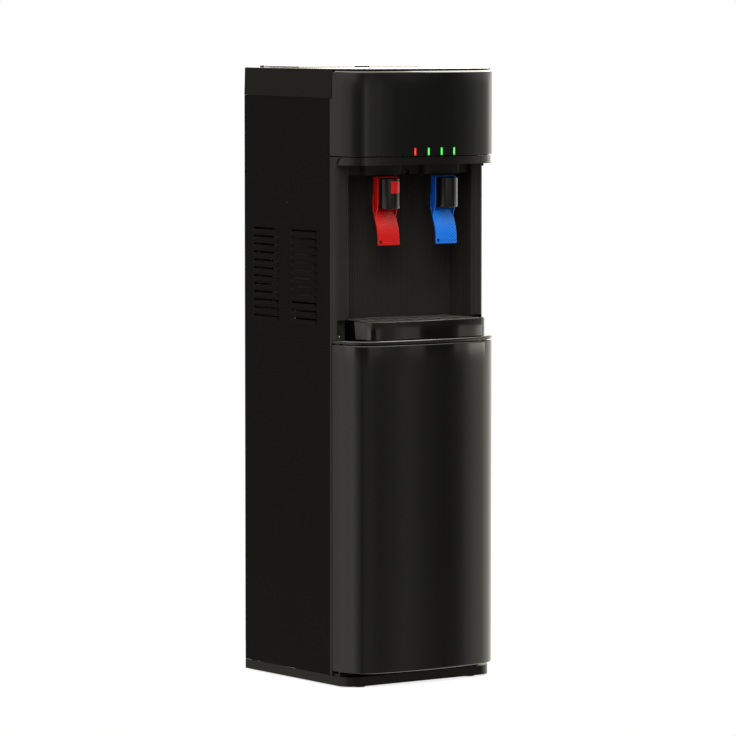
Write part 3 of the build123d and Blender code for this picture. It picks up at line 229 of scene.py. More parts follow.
@dataclass
class Recipe(Net):
    """Wires the nodes of one finish, in the object's own metres."""

    finish: Finish

    def own(self) -> Socket:
        """Place in the object's own metres."""
        return self.node("TexCoord").outputs["Object"]

    def noise(self, scale: float, detail: float, stretch: Point = (1, 1, 1)) -> Socket:
        """Noise with a number of repeats in a metre.

        Args:
            scale: repeats in a metre.
            detail: octaves.
            stretch: factor on each axis, below 1 for streaks along it.

        Returns:
            The factor output.
        """
        turned = self.node("Mapping", {"Vector": self.own(), "Scale": stretch}).outputs["Vector"]
        return self.node("TexNoise", {"Vector": turned, "Scale": scale, "Detail": detail}).outputs["Fac"]

    def cells(self, scale: float) -> Socket:
        """Distance to the nearest cell middle, with a number of cells in a metre."""
        return self.node("TexVoronoi", {"Vector": self.own(), "Scale": scale}).outputs["Distance"]

    def hatch(self) -> Socket:
        """Two sets of fine lines that cross on the slant.

        Returns:
            The height where either line stands.
        """
        lines = []
        for lean in (HATCH_LEAN, -HATCH_LEAN):
            turned = self.node("Mapping", {"Vector": self.own(), "Rotation": (0, lean, 0)}).outputs["Vector"]
            wave = self.node("TexWave", {"Vector": turned, "Scale": HATCH_LINES * math.tau / 20})
            lines.append(wave.outputs["Fac"])
        return self.maths("MAXIMUM", *lines)

    def height(self) -> tuple[Socket, float]:
        """Height field of the grain.

        Returns:
            The height socket and its depth in metres.
        """
        grain = self.finish.grain
        if grain is Grain.HATCH:
            return self.hatch(), 0.0003
        if grain in CELL_RELIEFS:
            scale, depth = CELL_RELIEFS[grain]
            return self.cells(scale), depth
        depth, *field = NOISE_RELIEFS[grain]
        return self.noise(*field), depth

    def mix(self) -> None:
        """Wire colour, roughness and relief into the shader."""
        finish = self.finish
        if finish.grain is Grain.SPANGLE:
            source = self.cells(SPANGLES)
        elif finish.grain is Grain.HATCH:
            source = self.hatch()
        else:
            source = self.noise(9, 3.0)
        dark, light = (
            (*[min(1, part * share) for part in finish.colour], 1) for share in (1 - finish.tone, 1 + finish.tone)
        )
        colour = self.blend(self.spread(source, 0, 1), dark, light)
        wear = self.spread(self.noise(140, 2.0), finish.roughness * 0.93, finish.roughness * 1.07)
        height, depth = self.height()
        bump = self.node("Bump", {"Strength": 0.5, "Distance": depth * finish.relief, "Height": height})
        self.shade({
            "Metallic": finish.metallic, "Specular IOR Level": finish.specular, "Base Color": colour,
            "Roughness": wear, "Normal": bump.outputs["Normal"],
        })
        if finish.glow:
            self.shade({"Emission Color": colour, "Emission Strength": finish.glow})


def finishes() -> dict[str, Finish]:
    """List the finishes by slot.

    Returns:
        Every finish that a piece can name.
    """
    rows = (
        Finish("side_steel", (0.0034, 0.0029, 0.0022), 0.42, Grain.POWDER, specular=0.045),
        Finish("top_plastic", (0.0072, 0.0064, 0.005), 0.28, Grain.SPARK, specular=0.09),
        Finish("lid_plastic", (0.0072, 0.0064, 0.005), 0.2, Grain.SPARK, listed="top_plastic"),
        Finish("head_gloss", (0.0035, 0.0036, 0.0035), 0.06, Grain.GLOSS),
        Finish("door_gloss", (0.0036, 0.0035, 0.0033), 0.07, Grain.GLOSS),
        Finish("frame_plastic", (0.027, 0.0243, 0.0205), 0.25, Grain.SPARK, specular=0.14),
        Finish("trim_gloss", (0.005, 0.0048, 0.0046), 0.1, Grain.GLOSS),
        Finish("bay_plastic", (0.03, 0.028, 0.0235), 0.38, Grain.SPARK, specular=0.04),
        Finish("tap_gloss", (0.004, 0.004, 0.004), 0.08, Grain.GLOSS),
        Finish("hot_red", (0.56, 0.005, 0.004), 0.22, Grain.GLOSS, specular=0.42),
        Finish("hot_grip", (0.56, 0.006, 0.004), 0.22, Grain.HATCH, specular=0.42, tone=0.3, listed="hot_red"),
        Finish("button_red", (0.56, 0.005, 0.004), 0.18, Grain.GLOSS, listed="hot_red"),
        Finish("cold_blue", (0.008, 0.095, 0.52), 0.22, Grain.GLOSS, specular=0.42),
        # Paddle front of the cold lever: the hatch is moulded grip, and its lighter blue than cold_blue is painted
        # light where the paddle faces the lamps.
        Finish("cold_grip_and_painted_light", (0.006, 0.18, 0.74), 0.22, Grain.HATCH, specular=0.42, tone=0.3, listed="cold_blue"),
        Finish("tray_gloss", (0.0036, 0.0033, 0.0029), 0.035, Grain.GLOSS, relief=0.3),
        # Lighter grey on the tray's flat sides: a painted sheen that stands in for the light they reflect.
        Finish("tray_painted_sheen", (0.08, 0.077, 0.069), 0.4, Grain.SPARK, specular=0.1, listed="tray_gloss"),
        Finish("grille_plastic", (0.09, 0.086, 0.077), 0.3, Grain.SPARK),
        Finish("base_plastic", (0.0042, 0.0038, 0.003), 0.32, Grain.SPARK, specular=0.26),
        Finish("foot_rubber", (0.02, 0.02, 0.02), 0.8, Grain.SPARK, specular=0.3),
        Finish("lamp_red", (0.85, 0.02, 0.01), 0.2, Grain.CLEAR, glow=0.6),
        Finish("lamp_green", (0.03, 0.8, 0.06), 0.2, Grain.CLEAR, glow=0.6),
        Finish("core_red", (1.0, 0.12, 0.04), 0.3, Grain.CLEAR, glow=1.2, listed="lamp_red"),
        Finish("core_green", (0.25, 1.0, 0.2), 0.3, Grain.CLEAR, glow=1.2, listed="lamp_green"),
        Finish("lamp_clear", (0.015, 0.0145, 0.013), 0.3, Grain.CLEAR),
        Finish("zinc_sheet", (0.5, 0.51, 0.52), 0.38, Grain.SPANGLE, metallic=1.0),
        Finish("steel", (0.55, 0.55, 0.54), 0.28, Grain.DRAWN, metallic=1.0),
        Finish("screw_black", (0.02, 0.019, 0.018), 0.4, Grain.DRAWN, metallic=0.5, listed="steel"),
        Finish("stainless", (0.6, 0.6, 0.59), 0.27, Grain.BRUSHED, metallic=1.0),
        Finish("copper", (0.72, 0.36, 0.22), 0.26, Grain.DRAWN, metallic=1.0),
        Finish("black_steel", (0.015, 0.015, 0.015), 0.3, Grain.POWDER),
        Finish("mount_rubber", (0.03, 0.03, 0.03), 0.85, Grain.SPARK, specular=0.3),
        Finish("foam", (0.83, 0.82, 0.78), 0.9, Grain.CELLS, specular=0.2),
        Finish("jacket", (0.07, 0.07, 0.072), 0.95, Grain.FELT, specular=0.15),
        Finish("heater_band", (0.45, 0.44, 0.41), 0.45, Grain.BRUSHED, metallic=1.0),
        Finish("filter_white", (0.82, 0.83, 0.83), 0.25, Grain.GLOSS, tone=0.03),
        Finish("white_plastic", (0.76, 0.76, 0.73), 0.45, Grain.SPARK, tone=0.04),
        Finish("tube_white", (0.72, 0.76, 0.78), 0.3, Grain.CLEAR, tone=0.04),
        Finish("board_green", (0.02, 0.16, 0.06), 0.45, Grain.SPARK),
        Finish("bush_plastic", (0.76, 0.73, 0.64), 0.5, Grain.SPARK, tone=0.04),
        Finish("switch_red", (0.5, 0.015, 0.015), 0.25, Grain.GLOSS),
        Finish("switch_green", (0.015, 0.32, 0.07), 0.25, Grain.GLOSS),
    )
    return {row.slot: row for row in rows}


# Mesh kit


def show(name: str, data: bpy.types.ID) -> bpy.types.Object:
    """Add an object to the scene.

    Args:
        name: its name.
        data: its mesh, lamp or camera.

    Returns:
        The new object.
    """
    made = bpy.data.objects.new(name, data)
    bpy.context.scene.collection.objects.link(made)
    return made


def quarter(steps: int) -> list[float]:
    """Angles of a quarter turn."""
    return [math.pi / 2 * step / steps for step in range(steps + 1)]


def foot_roll(radius: float, low: float, steps: int) -> Ring:
    """Inset and height up a rounded bottom edge."""
    return [(radius * (1 - math.sin(t)), low + radius * (1 - math.cos(t))) for t in quarter(steps)]


def top_roll(radius: float, high: float, steps: int) -> Ring:
    """Inset and height up a rounded top edge."""
    return [(radius * (1 - math.cos(t)), high - radius * (1 - math.sin(t))) for t in quarter(steps)]


def paint(piece: bpy.types.Object, finish: Finish, chosen: Callable[[bpy.types.MeshPolygon], bool]) -> None:
    """Give some faces of a piece a second finish.

    Args:
        piece: the piece.
        finish: its second finish.
        chosen: test of a face.
    """
    piece.data.materials.append(finish.material())
    for face in piece.data.polygons:
        if chosen(face):
            face.material_index = 1


def rounded(corners: Sequence[Point], steps: int = 4) -> Ring:
    """Closed outline with each corner rounded.

    Args:
        corners: two coordinates and a radius for each corner.
        steps: segments of each round corner.

    Returns:
        The points of the outline.
    """
    points: Ring = []
    for index, (a, b, radius) in enumerate(corners):
        here = Vector((a, b))
        before = (Vector(corners[index - 1][:2]) - here).normalized()
        after = (Vector(corners[(index + 1) % len(corners)][:2]) - here).normalized()
        bend = before.angle(after)
        if radius <= 0 or bend > math.pi - 1e-3:
            points.append((a, b))
            continue
        reach = radius / math.tan(bend / 2)
        middle = here + (before + after).normalized() * (radius / math.sin(bend / 2))
        start = here + before * reach - middle
        turn = (math.pi - bend) * (1 if start.cross(here + after * reach - middle) > 0 else -1)
        for step in range(steps + 1):
            angle = turn * step / steps
            cosine, sine = math.cos(angle), math.sin(angle)
            points.append(
                (middle.x + start.x * cosine - start.y * sine, middle.y + start.x * sine + start.y * cosine)
            )
    return points


def inset_ring(ring: Ring, inset: float) -> Ring:
    """Move a closed outline inwards by the same distance all round.

    Args:
        ring: points of the outline.
        inset: distance to move.

    Returns:
        The moved points.
    """
    area = sum(a[0] * b[1] - b[0] * a[1] for a, b in zip(ring, ring[1:] + ring[:1]))
    side = 1 if area > 0 else -1
    moved: Ring = []
    for index, (a, b) in enumerate(ring):
        into = (Vector((a, b)) - Vector(ring[index - 1])).normalized()
        out = (Vector(ring[(index + 1) % len(ring)]) - Vector((a, b))).normalized()
        first = Vector((-into.y, into.x)) * side
        second = Vector((-out.y, out.x)) * side
        push = (first + second) * (inset / (1 + max(-0.6, first.dot(second))))
        moved.append((a + push.x, b + push.y))
    return moved


@dataclass(frozen=True)
class Plan:
    """Plan with straight sides, round front corners and a bowed front, all tangent."""

    half: float
    corner: float
    corner_depth: float
    depth: float

    @property
    def span(self) -> float:
        """Half the bowed part."""
        return self.half - self.corner

    def bow(self) -> float:
        """Radius of the bowed front."""
        drop = self.depth - (self.corner_depth - self.corner)
        return (self.span**2 + drop**2 - self.corner**2) / (2 * (drop - self.corner))

    def front(self, inset: float = 0.0, marks: Sequence[float] = (), rows: int = 64) -> Ring:
        """Walk round the front from left to right.

        Args:
            inset: distance inside the plan.
            marks: widths that have to fall on a point of the outermost line.
            rows: points on the bowed part.

        Returns:
            Points of width and depth from the back.
        """
        span, centre, bow = self.span, self.corner_depth - self.corner, self.bow()
        lean = math.atan2(centre - (self.depth - bow), span)
        limit = math.pi / 2 - lean
        round_steps = 20
        radius = self.corner - inset
        right: Ring = []
        for step in range(round_steps):
            angle = lean * step / round_steps
            right.append((span + radius * math.cos(angle), centre + radius * math.sin(angle)))
        angles = {limit * (2 * row / rows - 1) for row in range(rows + 1)}
        wanted = [math.asin(mark / bow) for mark in marks]
        near = limit / rows
        kept = [angle for angle in angles if all(abs(angle - mark) > near for mark in wanted)]
        middle = [
            ((bow - inset) * math.sin(angle), self.depth - bow + (bow - inset) * math.cos(angle))
            for angle in sorted(kept + wanted)
        ]
        left = [(-x, d) for x, d in right]
        return left + middle + right[::-1]

    def depth_at(self, x: float) -> float:
        """Depth of the bowed front at a width."""
        return self.depth - self.bow() + math.sqrt(self.bow() ** 2 - x**2)

    def closed(self, inset: float, rear: float, marks: Sequence[float] = ()) -> Ring:
        """The front, with a corner at each side of the rear."""
        path = self.front(inset, marks)
        return [(path[0][0], rear), *path, (path[-1][0], rear)]


class Axis(Enum):
    """Direction of a prism."""

    ACROSS = "outline of depth and height"
    UP = "outline of width and depth"

    def place(self, a: float, b: float, at: float) -> Point:
        """Point of an outline at a place along the direction."""
        return (at, a, b) if self is Axis.ACROSS else (a, b, at)


class Shape:
    """Mesh in millimetres: width from the middle, depth from the back, height."""

    def __init__(self) -> None:
        """Start empty."""
        self.points: list[Point] = []
        self.faces: list[tuple[int, ...]] = []

    def ring(self, points: Iterable[Point]) -> list[int]:
        """Add points.

        Args:
            points: width, depth and height of each.

        Returns:
            Their numbers.
        """
        start = len(self.points)
        self.points.extend(points)
        return list(range(start, len(self.points)))

    def bridge(self, low: list[int], high: list[int], closed: bool = True, skip: Iterable[int] = ()) -> None:
        """Join two rings with quads.

        Args:
            low: first ring.
            high: second ring, as long as the first.
            closed: whether the rings run back to their start.
            skip: places along the ring that stay open.
        """
        gaps = set(skip)
        count = len(low)
        for here in range(count if closed else count - 1):
            after = (here + 1) % count
            if here not in gaps:
                self.faces.append((low[here], low[after], high[after], high[here]))

    def stack(self, rings: Iterable[Iterable[Point]]) -> None:
        """Join closed rings in order and close both ends.

        Args:
            rings: points of each ring.
        """
        made = [self.ring(points) for points in rings]
        for low, high in zip(made, made[1:]):
            self.bridge(low, high)
        self.faces += [tuple(made[0]), tuple(made[-1])]

    def grating(self, first: Grid, second: Grid) -> None:
        """Close two sheets of points, open with walls where the row and the column are odd.

        Args:
            first: rows of one sheet.
            second: rows of the other.
        """
        for row in range(len(first) - 1):
            for column in range(len(first[0]) - 1):
                corners = [(row, column), (row, column + 1), (row + 1, column + 1), (row + 1, column)]
                if row % 2 and column % 2:
                    for (r0, c0), (r1, c1) in zip(corners, corners[1:] + corners[:1]):
                        self.faces.append((first[r0][c0], first[r1][c1], second[r1][c1], second[r0][c0]))
                else:
                    self.faces += [tuple(grid[r][c] for r, c in corners) for grid in (first, second)]

    def holed(self, outer: list[int], hole: list[int]) -> None:
        """Close a flat outline round a hole with two faces.

        Args:
            outer: ring of the outline.
            hole: ring of the hole, running the same way.
        """
        half = len(hole) // 2

        def nearest(mark: int) -> int:
            """Place on the outline nearest to a point of the hole."""
            here = Vector(self.points[hole[mark]])
            return min(range(len(outer)), key=lambda place: (Vector(self.points[outer[place]]) - here).length)

        first, second = nearest(0), nearest(half)
        for start, end, ring in ((first, second, hole[: half + 1]), (second, first, [*hole[half:], hole[0]])):
            span = (end - start) % len(outer)
            run = [outer[(start + step) % len(outer)] for step in range(span + 1)]
            self.faces.append((*run, *reversed(ring)))

    def prism(self, outline: Ring, axis: Axis, low: float, high: float, edge: float = 0.4) -> None:
        """Prism with rounded end edges.

        Args:
            outline: closed outline across the axis.
            axis: direction of the prism.
            low: where it starts.
            high: where it ends.
            edge: radius of the end edges.
        """
        levels = foot_roll(edge, low, 3)
        levels += [(inset, high - (at - low)) for inset, at in reversed(levels)]
        self.stack([axis.place(a, b, at) for a, b in inset_ring(outline, inset)] for inset, at in levels)

    def block(self, x0: float, x1: float, d0: float, d1: float, z0: float, z1: float, edge: float = 0.4) -> None:
        """Box with all its edges rounded.

        Args:
            x0: left side.
            x1: right side.
            d0: rear.
            d1: front.
            z0: bottom.
            z1: top.
            edge: radius of the edges.
        """
        corners = [(x0, d0, edge), (x1, d0, edge), (x1, d1, edge), (x0, d1, edge)]
        self.prism(rounded(corners, 3), Axis.UP, z0, z1, edge)

    def sweep(self, plan: Plan, profile: Ring, rear: Callable[[float], float], marks: Sequence[float] = ()) -> Grid:
        """Carry a profile round a plan, without the faces between its rows.

        Args:
            plan: the plan to follow.
            profile: points of inset and height.
            rear: depth of the ends at a height.
            marks: widths that have to fall on a point.

        Returns:
            Numbers of the points of each row.
        """
        return [self.ring((x, d, z) for x, d in plan.closed(inset, rear(z), marks)) for inset, z in profile]

    def build(self, name: str, body: str, finish: Finish, crease: float = 38.0) -> bpy.types.Object:
        """Make the object, dress it and let it ride on its body.

        Args:
            name: name of the piece.
            body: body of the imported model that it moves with.
            finish: finish of the piece.
            crease: angle in degrees above which an edge stays sharp.

        Returns:
            The new object.
        """
        mesh = bpy.data.meshes.new(name)
        form = bmesh.new()
        made = [form.verts.new((x * MM, (BACK - d) * MM, z * MM)) for x, d, z in self.points]
        for face in self.faces:
            form.faces.new([made[index] for index in face])
        bmesh.ops.remove_doubles(form, verts=form.verts, dist=1e-7)
        bmesh.ops.recalc_face_normals(form, faces=form.faces)
        form.to_mesh(mesh)
        form.free()
        mesh.shade_smooth()
        mesh.set_sharp_from_angle(angle=math.radians(crease))
        mesh.materials.append(finish.material())
        piece = show(name, mesh)
        fair = piece.modifiers.new("fair", "WEIGHTED_NORMAL")
        fair.keep_sharp = True
        fair.weight = 100
        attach(piece, body)
        LOG.info("made %s with %d faces", name, len(mesh.polygons))
        return piece


# Plans shared by several pieces

CABINET = Plan(half=154.0, corner=57.0, corner_depth=337.0, depth=345.0)
TRAY = Plan(half=122.5, corner=21.0, corner_depth=334.0, depth=340.0)


@dataclass
class Cabinet:
    """Side panels with their pressed louvres."""

    finish: Finish
    half: float = 154.0
    sheet: float = 1.0
    low: float = 19.5
    high: float = 991.2
    high_rear: float = 993.8
    front: float = 256.0
    columns: tuple[tuple[float, float], ...] = ((28.0, 105.0), (142.0, 218.0))
    rows: int = 12
    top: float = 765.4
    pitch: float = 13.56
    height: float = 8.2
    slot: float = 2.8
    bulge: float = 2.0
    taper: float = 5.0

    def build(self) -> None:
        """Make the left panel and the right one."""
        for side, word in ((-1, "left"), (1, "right")):
            shape = Shape()
            self.skin(shape, side)
            self.flanges(shape, side)
            for start, end in self.columns:
                for row in range(self.rows):
                    self.louvre(shape, side, start, end, self.top - row * self.pitch)
            piece = shape.build(f"{word}_panel_pressing", "cabinet", self.finish)
            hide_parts(f"{word}_side_panel")

    def skin(self, shape: Shape, side: int) -> None:
        """Flat sheet with a hole behind each louvre.

        Args:
            shape: mesh to add to.
            side: -1 for the left, 1 for the right.
        """
        depths = [1.0]
        for start, end in self.columns:
            depths += [start + self.sheet, end - self.sheet]
        depths.append(self.front)
        heights = [self.low]
        for row in reversed(range(self.rows)):
            top = self.top - row * self.pitch
            heights += [top - self.height + self.sheet, top + self.slot]
        heights.append(self.high)
        sheets: list[Grid] = []
        for inward in (0.0, self.sheet):
            x = side * (self.half - inward)
            rows = [[(x, d, z) for d in depths] for z in heights[:-1]]
            rows.append([(x, d, self.high_rear + (self.high - self.high_rear) * d / self.front) for d in depths])
            sheets.append([shape.ring(row) for row in rows])
        outer, inner = sheets
        shape.grating(outer, inner)
        for end in (0, -1):
            shape.bridge(outer[end], inner[end], closed=False)
            shape.bridge([row[end] for row in outer], [row[end] for row in inner], closed=False)

    def flanges(self, shape: Shape, side: int) -> None:
        """Folded edges at the front, the rear and the top.

        Args:
            shape: mesh to add to.
            side: -1 for the left, 1 for the right.
        """
        fold, skin = 139.0, 153.6
        for x_in, x_out, d0, d1, z0, z1 in (
            (fold, skin, 255.0, self.front, self.low, self.high),
            (fold, skin, 16.0, 17.0, self.low, self.high),
            (fold, skin, 16.5, 255.5, self.high - 1, self.high),
            (150.0, 151.0, 5.0, 252.0, self.high - 0.5, self.high + 14),
        ):
            x0, x1 = sorted((side * x_in, side * x_out))
            shape.block(x0, x1, d0, d1, z0, z1, 0.35)

    def louvre(self, shape: Shape, side: int, start: float, end: float, top: float) -> None:
        """Pressed hood that rises smoothly from the sheet and is open above.

        Args:
            shape: mesh to add to.
            side: -1 for the left, 1 for the right.
            start: rear end.
            end: front end.
            top: height of the open lip.
        """
        along = [start + self.taper * step / 4 for step in range(5)]
        along += [end - self.taper * (1 - step / 4) for step in range(5)]
        levels = 7
        skins = []
        for inward in (0.0, self.sheet * 0.9):
            grid = []
            for level in range(levels + 1):
                share = level / levels
                rise = self.bulge * math.sin(min(1.0, share * 1.15) * math.pi / 2) ** 2
                row = []
                for d in along:
                    near = min(d - start, end - d) / self.taper
                    ease = math.sin(min(1.0, near) * math.pi / 2) ** 2
                    row.append((side * (self.half + rise * ease - inward), d, top - self.height * (1 - share)))
                grid.append(shape.ring(row))
            for low, high in zip(grid, grid[1:]):
                shape.bridge(low, high, closed=False)
            skins.append(grid)
        outer, inner = skins
        for end in (-1, 0):
            shape.bridge(outer[end], inner[end], closed=False)
            shape.bridge([row[end] for row in outer], [row[end] for row in inner], closed=False)


@dataclass
class Head:
    """Gloss head with its indicators."""

    gloss: Finish
    red: Finish
    green: Finish
    red_core: Finish
    green_core: Finish
    low: float = 895.0
    high: float = 1037.6
    skin: float = 2.6
    roll: float = 4.5
    seam_low: float = 990.8
    seam_high: float = 1041.0
    seam_rear: float = 256.2
    seam_step: float = 260.9
    seam_slant: float = 3.7
    pitch: float = 26.9
    window: float = 2.05
    window_low: float = 895.8
    window_high: float = 908.6

    def places(self) -> list[float]:
        """Widths of the four indicators."""
        return [(step - 1.5) * self.pitch for step in range(4)]

    def build(self) -> None:
        """Make the fascia and the indicators."""
        self.fascia()
        for index, x in enumerate(self.places()):
            self.indicator(index, x)

    def rear(self, z: float) -> float:
        """Depth of the seam with the cap at a height.

        Args:
            z: height.

        Returns:
            Depth from the back.
        """
        if z <= self.seam_low:
            return self.seam_rear
        return self.seam_step + (z - self.seam_low) / (self.seam_high - self.seam_low) * self.seam_slant

    def fascia(self) -> None:
        """Skin with a rolled top edge and a window for each indicator."""
        shape = Shape()
        marks = [x + side * self.window for x in self.places() for side in (-1, 1)]
        skin, roof = self.skin, self.high - self.skin
        outer: Ring = [
            (24.0, self.low), (0.8, self.low), (0.15, self.low + 0.25), (0.0, self.window_low),
            (0.0, self.window_high), (0.0, self.seam_low), (0.0, self.seam_low + 0.01),
            *top_roll(self.roll, self.high, 6),
        ]
        inner: Ring = [
            (14.0, self.high), (14.0, roof), (skin + 1, roof), (skin, self.high - self.roll),
            (skin, self.seam_low + 0.01), (skin, self.seam_low), (skin, self.window_high),
            (skin, self.window_low), (skin + 2, self.low + skin), (24.0, self.low + skin),
        ]
        profile = outer + inner
        rows = shape.sweep(CABINET, profile, self.rear, marks)
        path = CABINET.closed(0.0, 0.0, marks)
        gaps = []
        for place, ((a, _), (b, depth)) in enumerate(zip(path, path[1:])):
            middle = (a + b) / 2
            if depth > 300 and any(abs(middle - x) < self.window for x in self.places()):
                gaps.append(place)
        outer_low = profile.index((0.0, self.window_low))
        inner_high = profile.index((self.skin, self.window_high))
        for index, row in enumerate(rows):
            after = rows[(index + 1) % len(rows)]
            open_here = index in (outer_low, inner_high)
            shape.bridge(row, after, closed=False, skip=gaps if open_here else ())
        step_out, step_in = profile.index((0.0, self.seam_low)), profile.index((self.skin, self.seam_low))
        for end in (0, -1):
            column = [row[end] for row in rows]
            shape.faces.append((*column[: step_out + 1], *column[step_in:]))
            shape.faces.append(tuple(column[step_out + 1 : step_in]))
            shape.faces.append((*column[step_out : step_out + 2], *column[step_in - 1 : step_in + 1]))
        out_low, out_high = rows[outer_low], rows[outer_low + 1]
        in_high, in_low = rows[inner_high], rows[inner_high + 1]
        for place in gaps:
            for out, within in ((out_low, in_low), (out_high, in_high)):
                shape.faces.append((out[place], out[place + 1], within[place + 1], within[place]))
            for edge, beside in ((place, place - 1), (place + 1, place + 1)):
                if beside not in gaps:
                    shape.faces.append((out_low[edge], out_high[edge], in_high[edge], in_low[edge]))
        piece = shape.build("head_skin", "cabinet", self.gloss)
        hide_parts("head_fascia")

    def indicator(self, index: int, x: float) -> None:
        """Clear bar with a bright core.

        Args:
            index: number from the left.
            x: its width place.
        """
        front = CABINET.depth_at(x) - 0.1
        lamp, core = (self.red, self.red_core) if index == 0 else (self.green, self.green_core)
        bar = Shape()
        bar.block(x - 2.0, x + 2.0, front - 8, front, self.window_low + 0.05, self.window_high - 0.05, 0.5)
        body = bar.build(f"indicator_bar_{index}", "cabinet", lamp)
        light = Shape()
        light.block(x - 0.8, x + 0.8, front - 6, front + 0.06, self.window_low + 2, self.window_high - 2, 0.5)
        light.build(f"indicator_core_{index}", "cabinet", core)
        if index == 0:
            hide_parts("red_indicator")
        else:
            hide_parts("green_indicators")


@dataclass
class Bay:
    """Ribbed wall of the bay, the block under its ceiling and the lamp."""

    plastic: Finish
    clear: Finish
    half: float = 128.0
    wall: float = 2.5
    face: float = 212.0
    cheek: float = 245.6
    low: float = 580.8
    high: float = 879.7
    rib_pitch: float = 5.0
    rib_width: float = 2.4
    rib_height: float = 0.9
    rib_low: float = 592.5
    rib_high: float = 860.0
    hood_low: float = 862.0
    hood_x: float = 61.0
    hood_half: float = 36.7
    hood_front: float = 282.0
    block_front: float = 263.0
    lens_half: float = 5.5
    lens_front: float = 259.0
    lens_height: float = 7.0
    pocket: float = 8.0

    def build(self) -> None:
        """Make the wall, the block with its hoods and the lamp."""
        self.ribbed_wall()
        self.hoods()
        self.lamp()

    def ribbed_wall(self) -> None:
        """Rear wall with rounded ribs, and its plain side walls."""
        shape = Shape()
        out = self.half + self.wall
        shape.block(-out, out, self.face - self.wall, self.face, self.low, self.high, 0.5)
        for x0, x1 in ((-out, -self.half), (self.half, out)):
            shape.block(x0, x1, self.face - 0.5, self.cheek, self.low, self.high, 0.5)
        count = int((2 * self.half - 6) / self.rib_pitch)
        half, foot, crest = self.rib_width / 2, self.face - 0.3, self.face + self.rib_height
        for number in range(count + 1):
            x = (number - count / 2) * self.rib_pitch
            left, right = (x - half * 0.8, crest, 0.5), (x + half * 0.8, crest, 0.5)
            outline = rounded([(x - half, foot, 0), (x + half, foot, 0), right, left], 3)
            shape.prism(outline, Axis.UP, self.rib_low, self.rib_high, 0.3)
        piece = shape.build("bay_wall", "cabinet", self.plastic)
        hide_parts("splash_panel")

    def hoods(self) -> None:
        """Block under the ceiling, stepped forward over each tap, with the pocket of the lamp."""
        shape = Shape()
        side, front, block = self.half - 1, self.hood_front, self.block_front
        near, far = self.hood_x - self.hood_half, self.hood_x + self.hood_half
        mouth = self.lens_half + 0.1

        def plan(pocket: float, inset: float) -> Ring:
            """Outline with the pocket at a depth.

            Args:
                pocket: depth of the pocket.
                inset: distance inside the outline.

            Returns:
                Points of width and depth.
            """
            left = [(-side, self.face + 1.5, 0), (-side, block, 0.5), (-far, block, 1), (-far, front, 4)]
            left += [(-near, front, 4), (-near, block, 1), (-mouth, block, 0), (-mouth, block - pocket, 0)]
            return inset_ring(rounded([*left, *[(-x, d, r) for x, d, r in reversed(left)]]), inset)

        levels = [(self.pocket, *level) for level in foot_roll(0.8, self.hood_low, 4)]
        roof = self.hood_low + self.lens_height + 0.1
        levels += [(self.pocket, 0, roof), (0.01, 0, roof), (0.01, 0, self.high)]
        shape.stack([(x, d, z) for x, d in plan(pocket, inset)] for pocket, inset, z in levels)
        piece = shape.build("hood_block", "cabinet", self.plastic)
        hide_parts("tap_hoods")

    def lamp(self) -> None:
        """Small lens in the pocket."""
        shape = Shape()
        rear = self.block_front - self.pocket + 0.1
        half, top = self.lens_half, self.hood_low + self.lens_height
        shape.block(-half, half, rear, self.lens_front, self.hood_low, top, 1.4)
        piece = shape.build("bay_lens", "cabinet", self.clear)
        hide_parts("night_light")


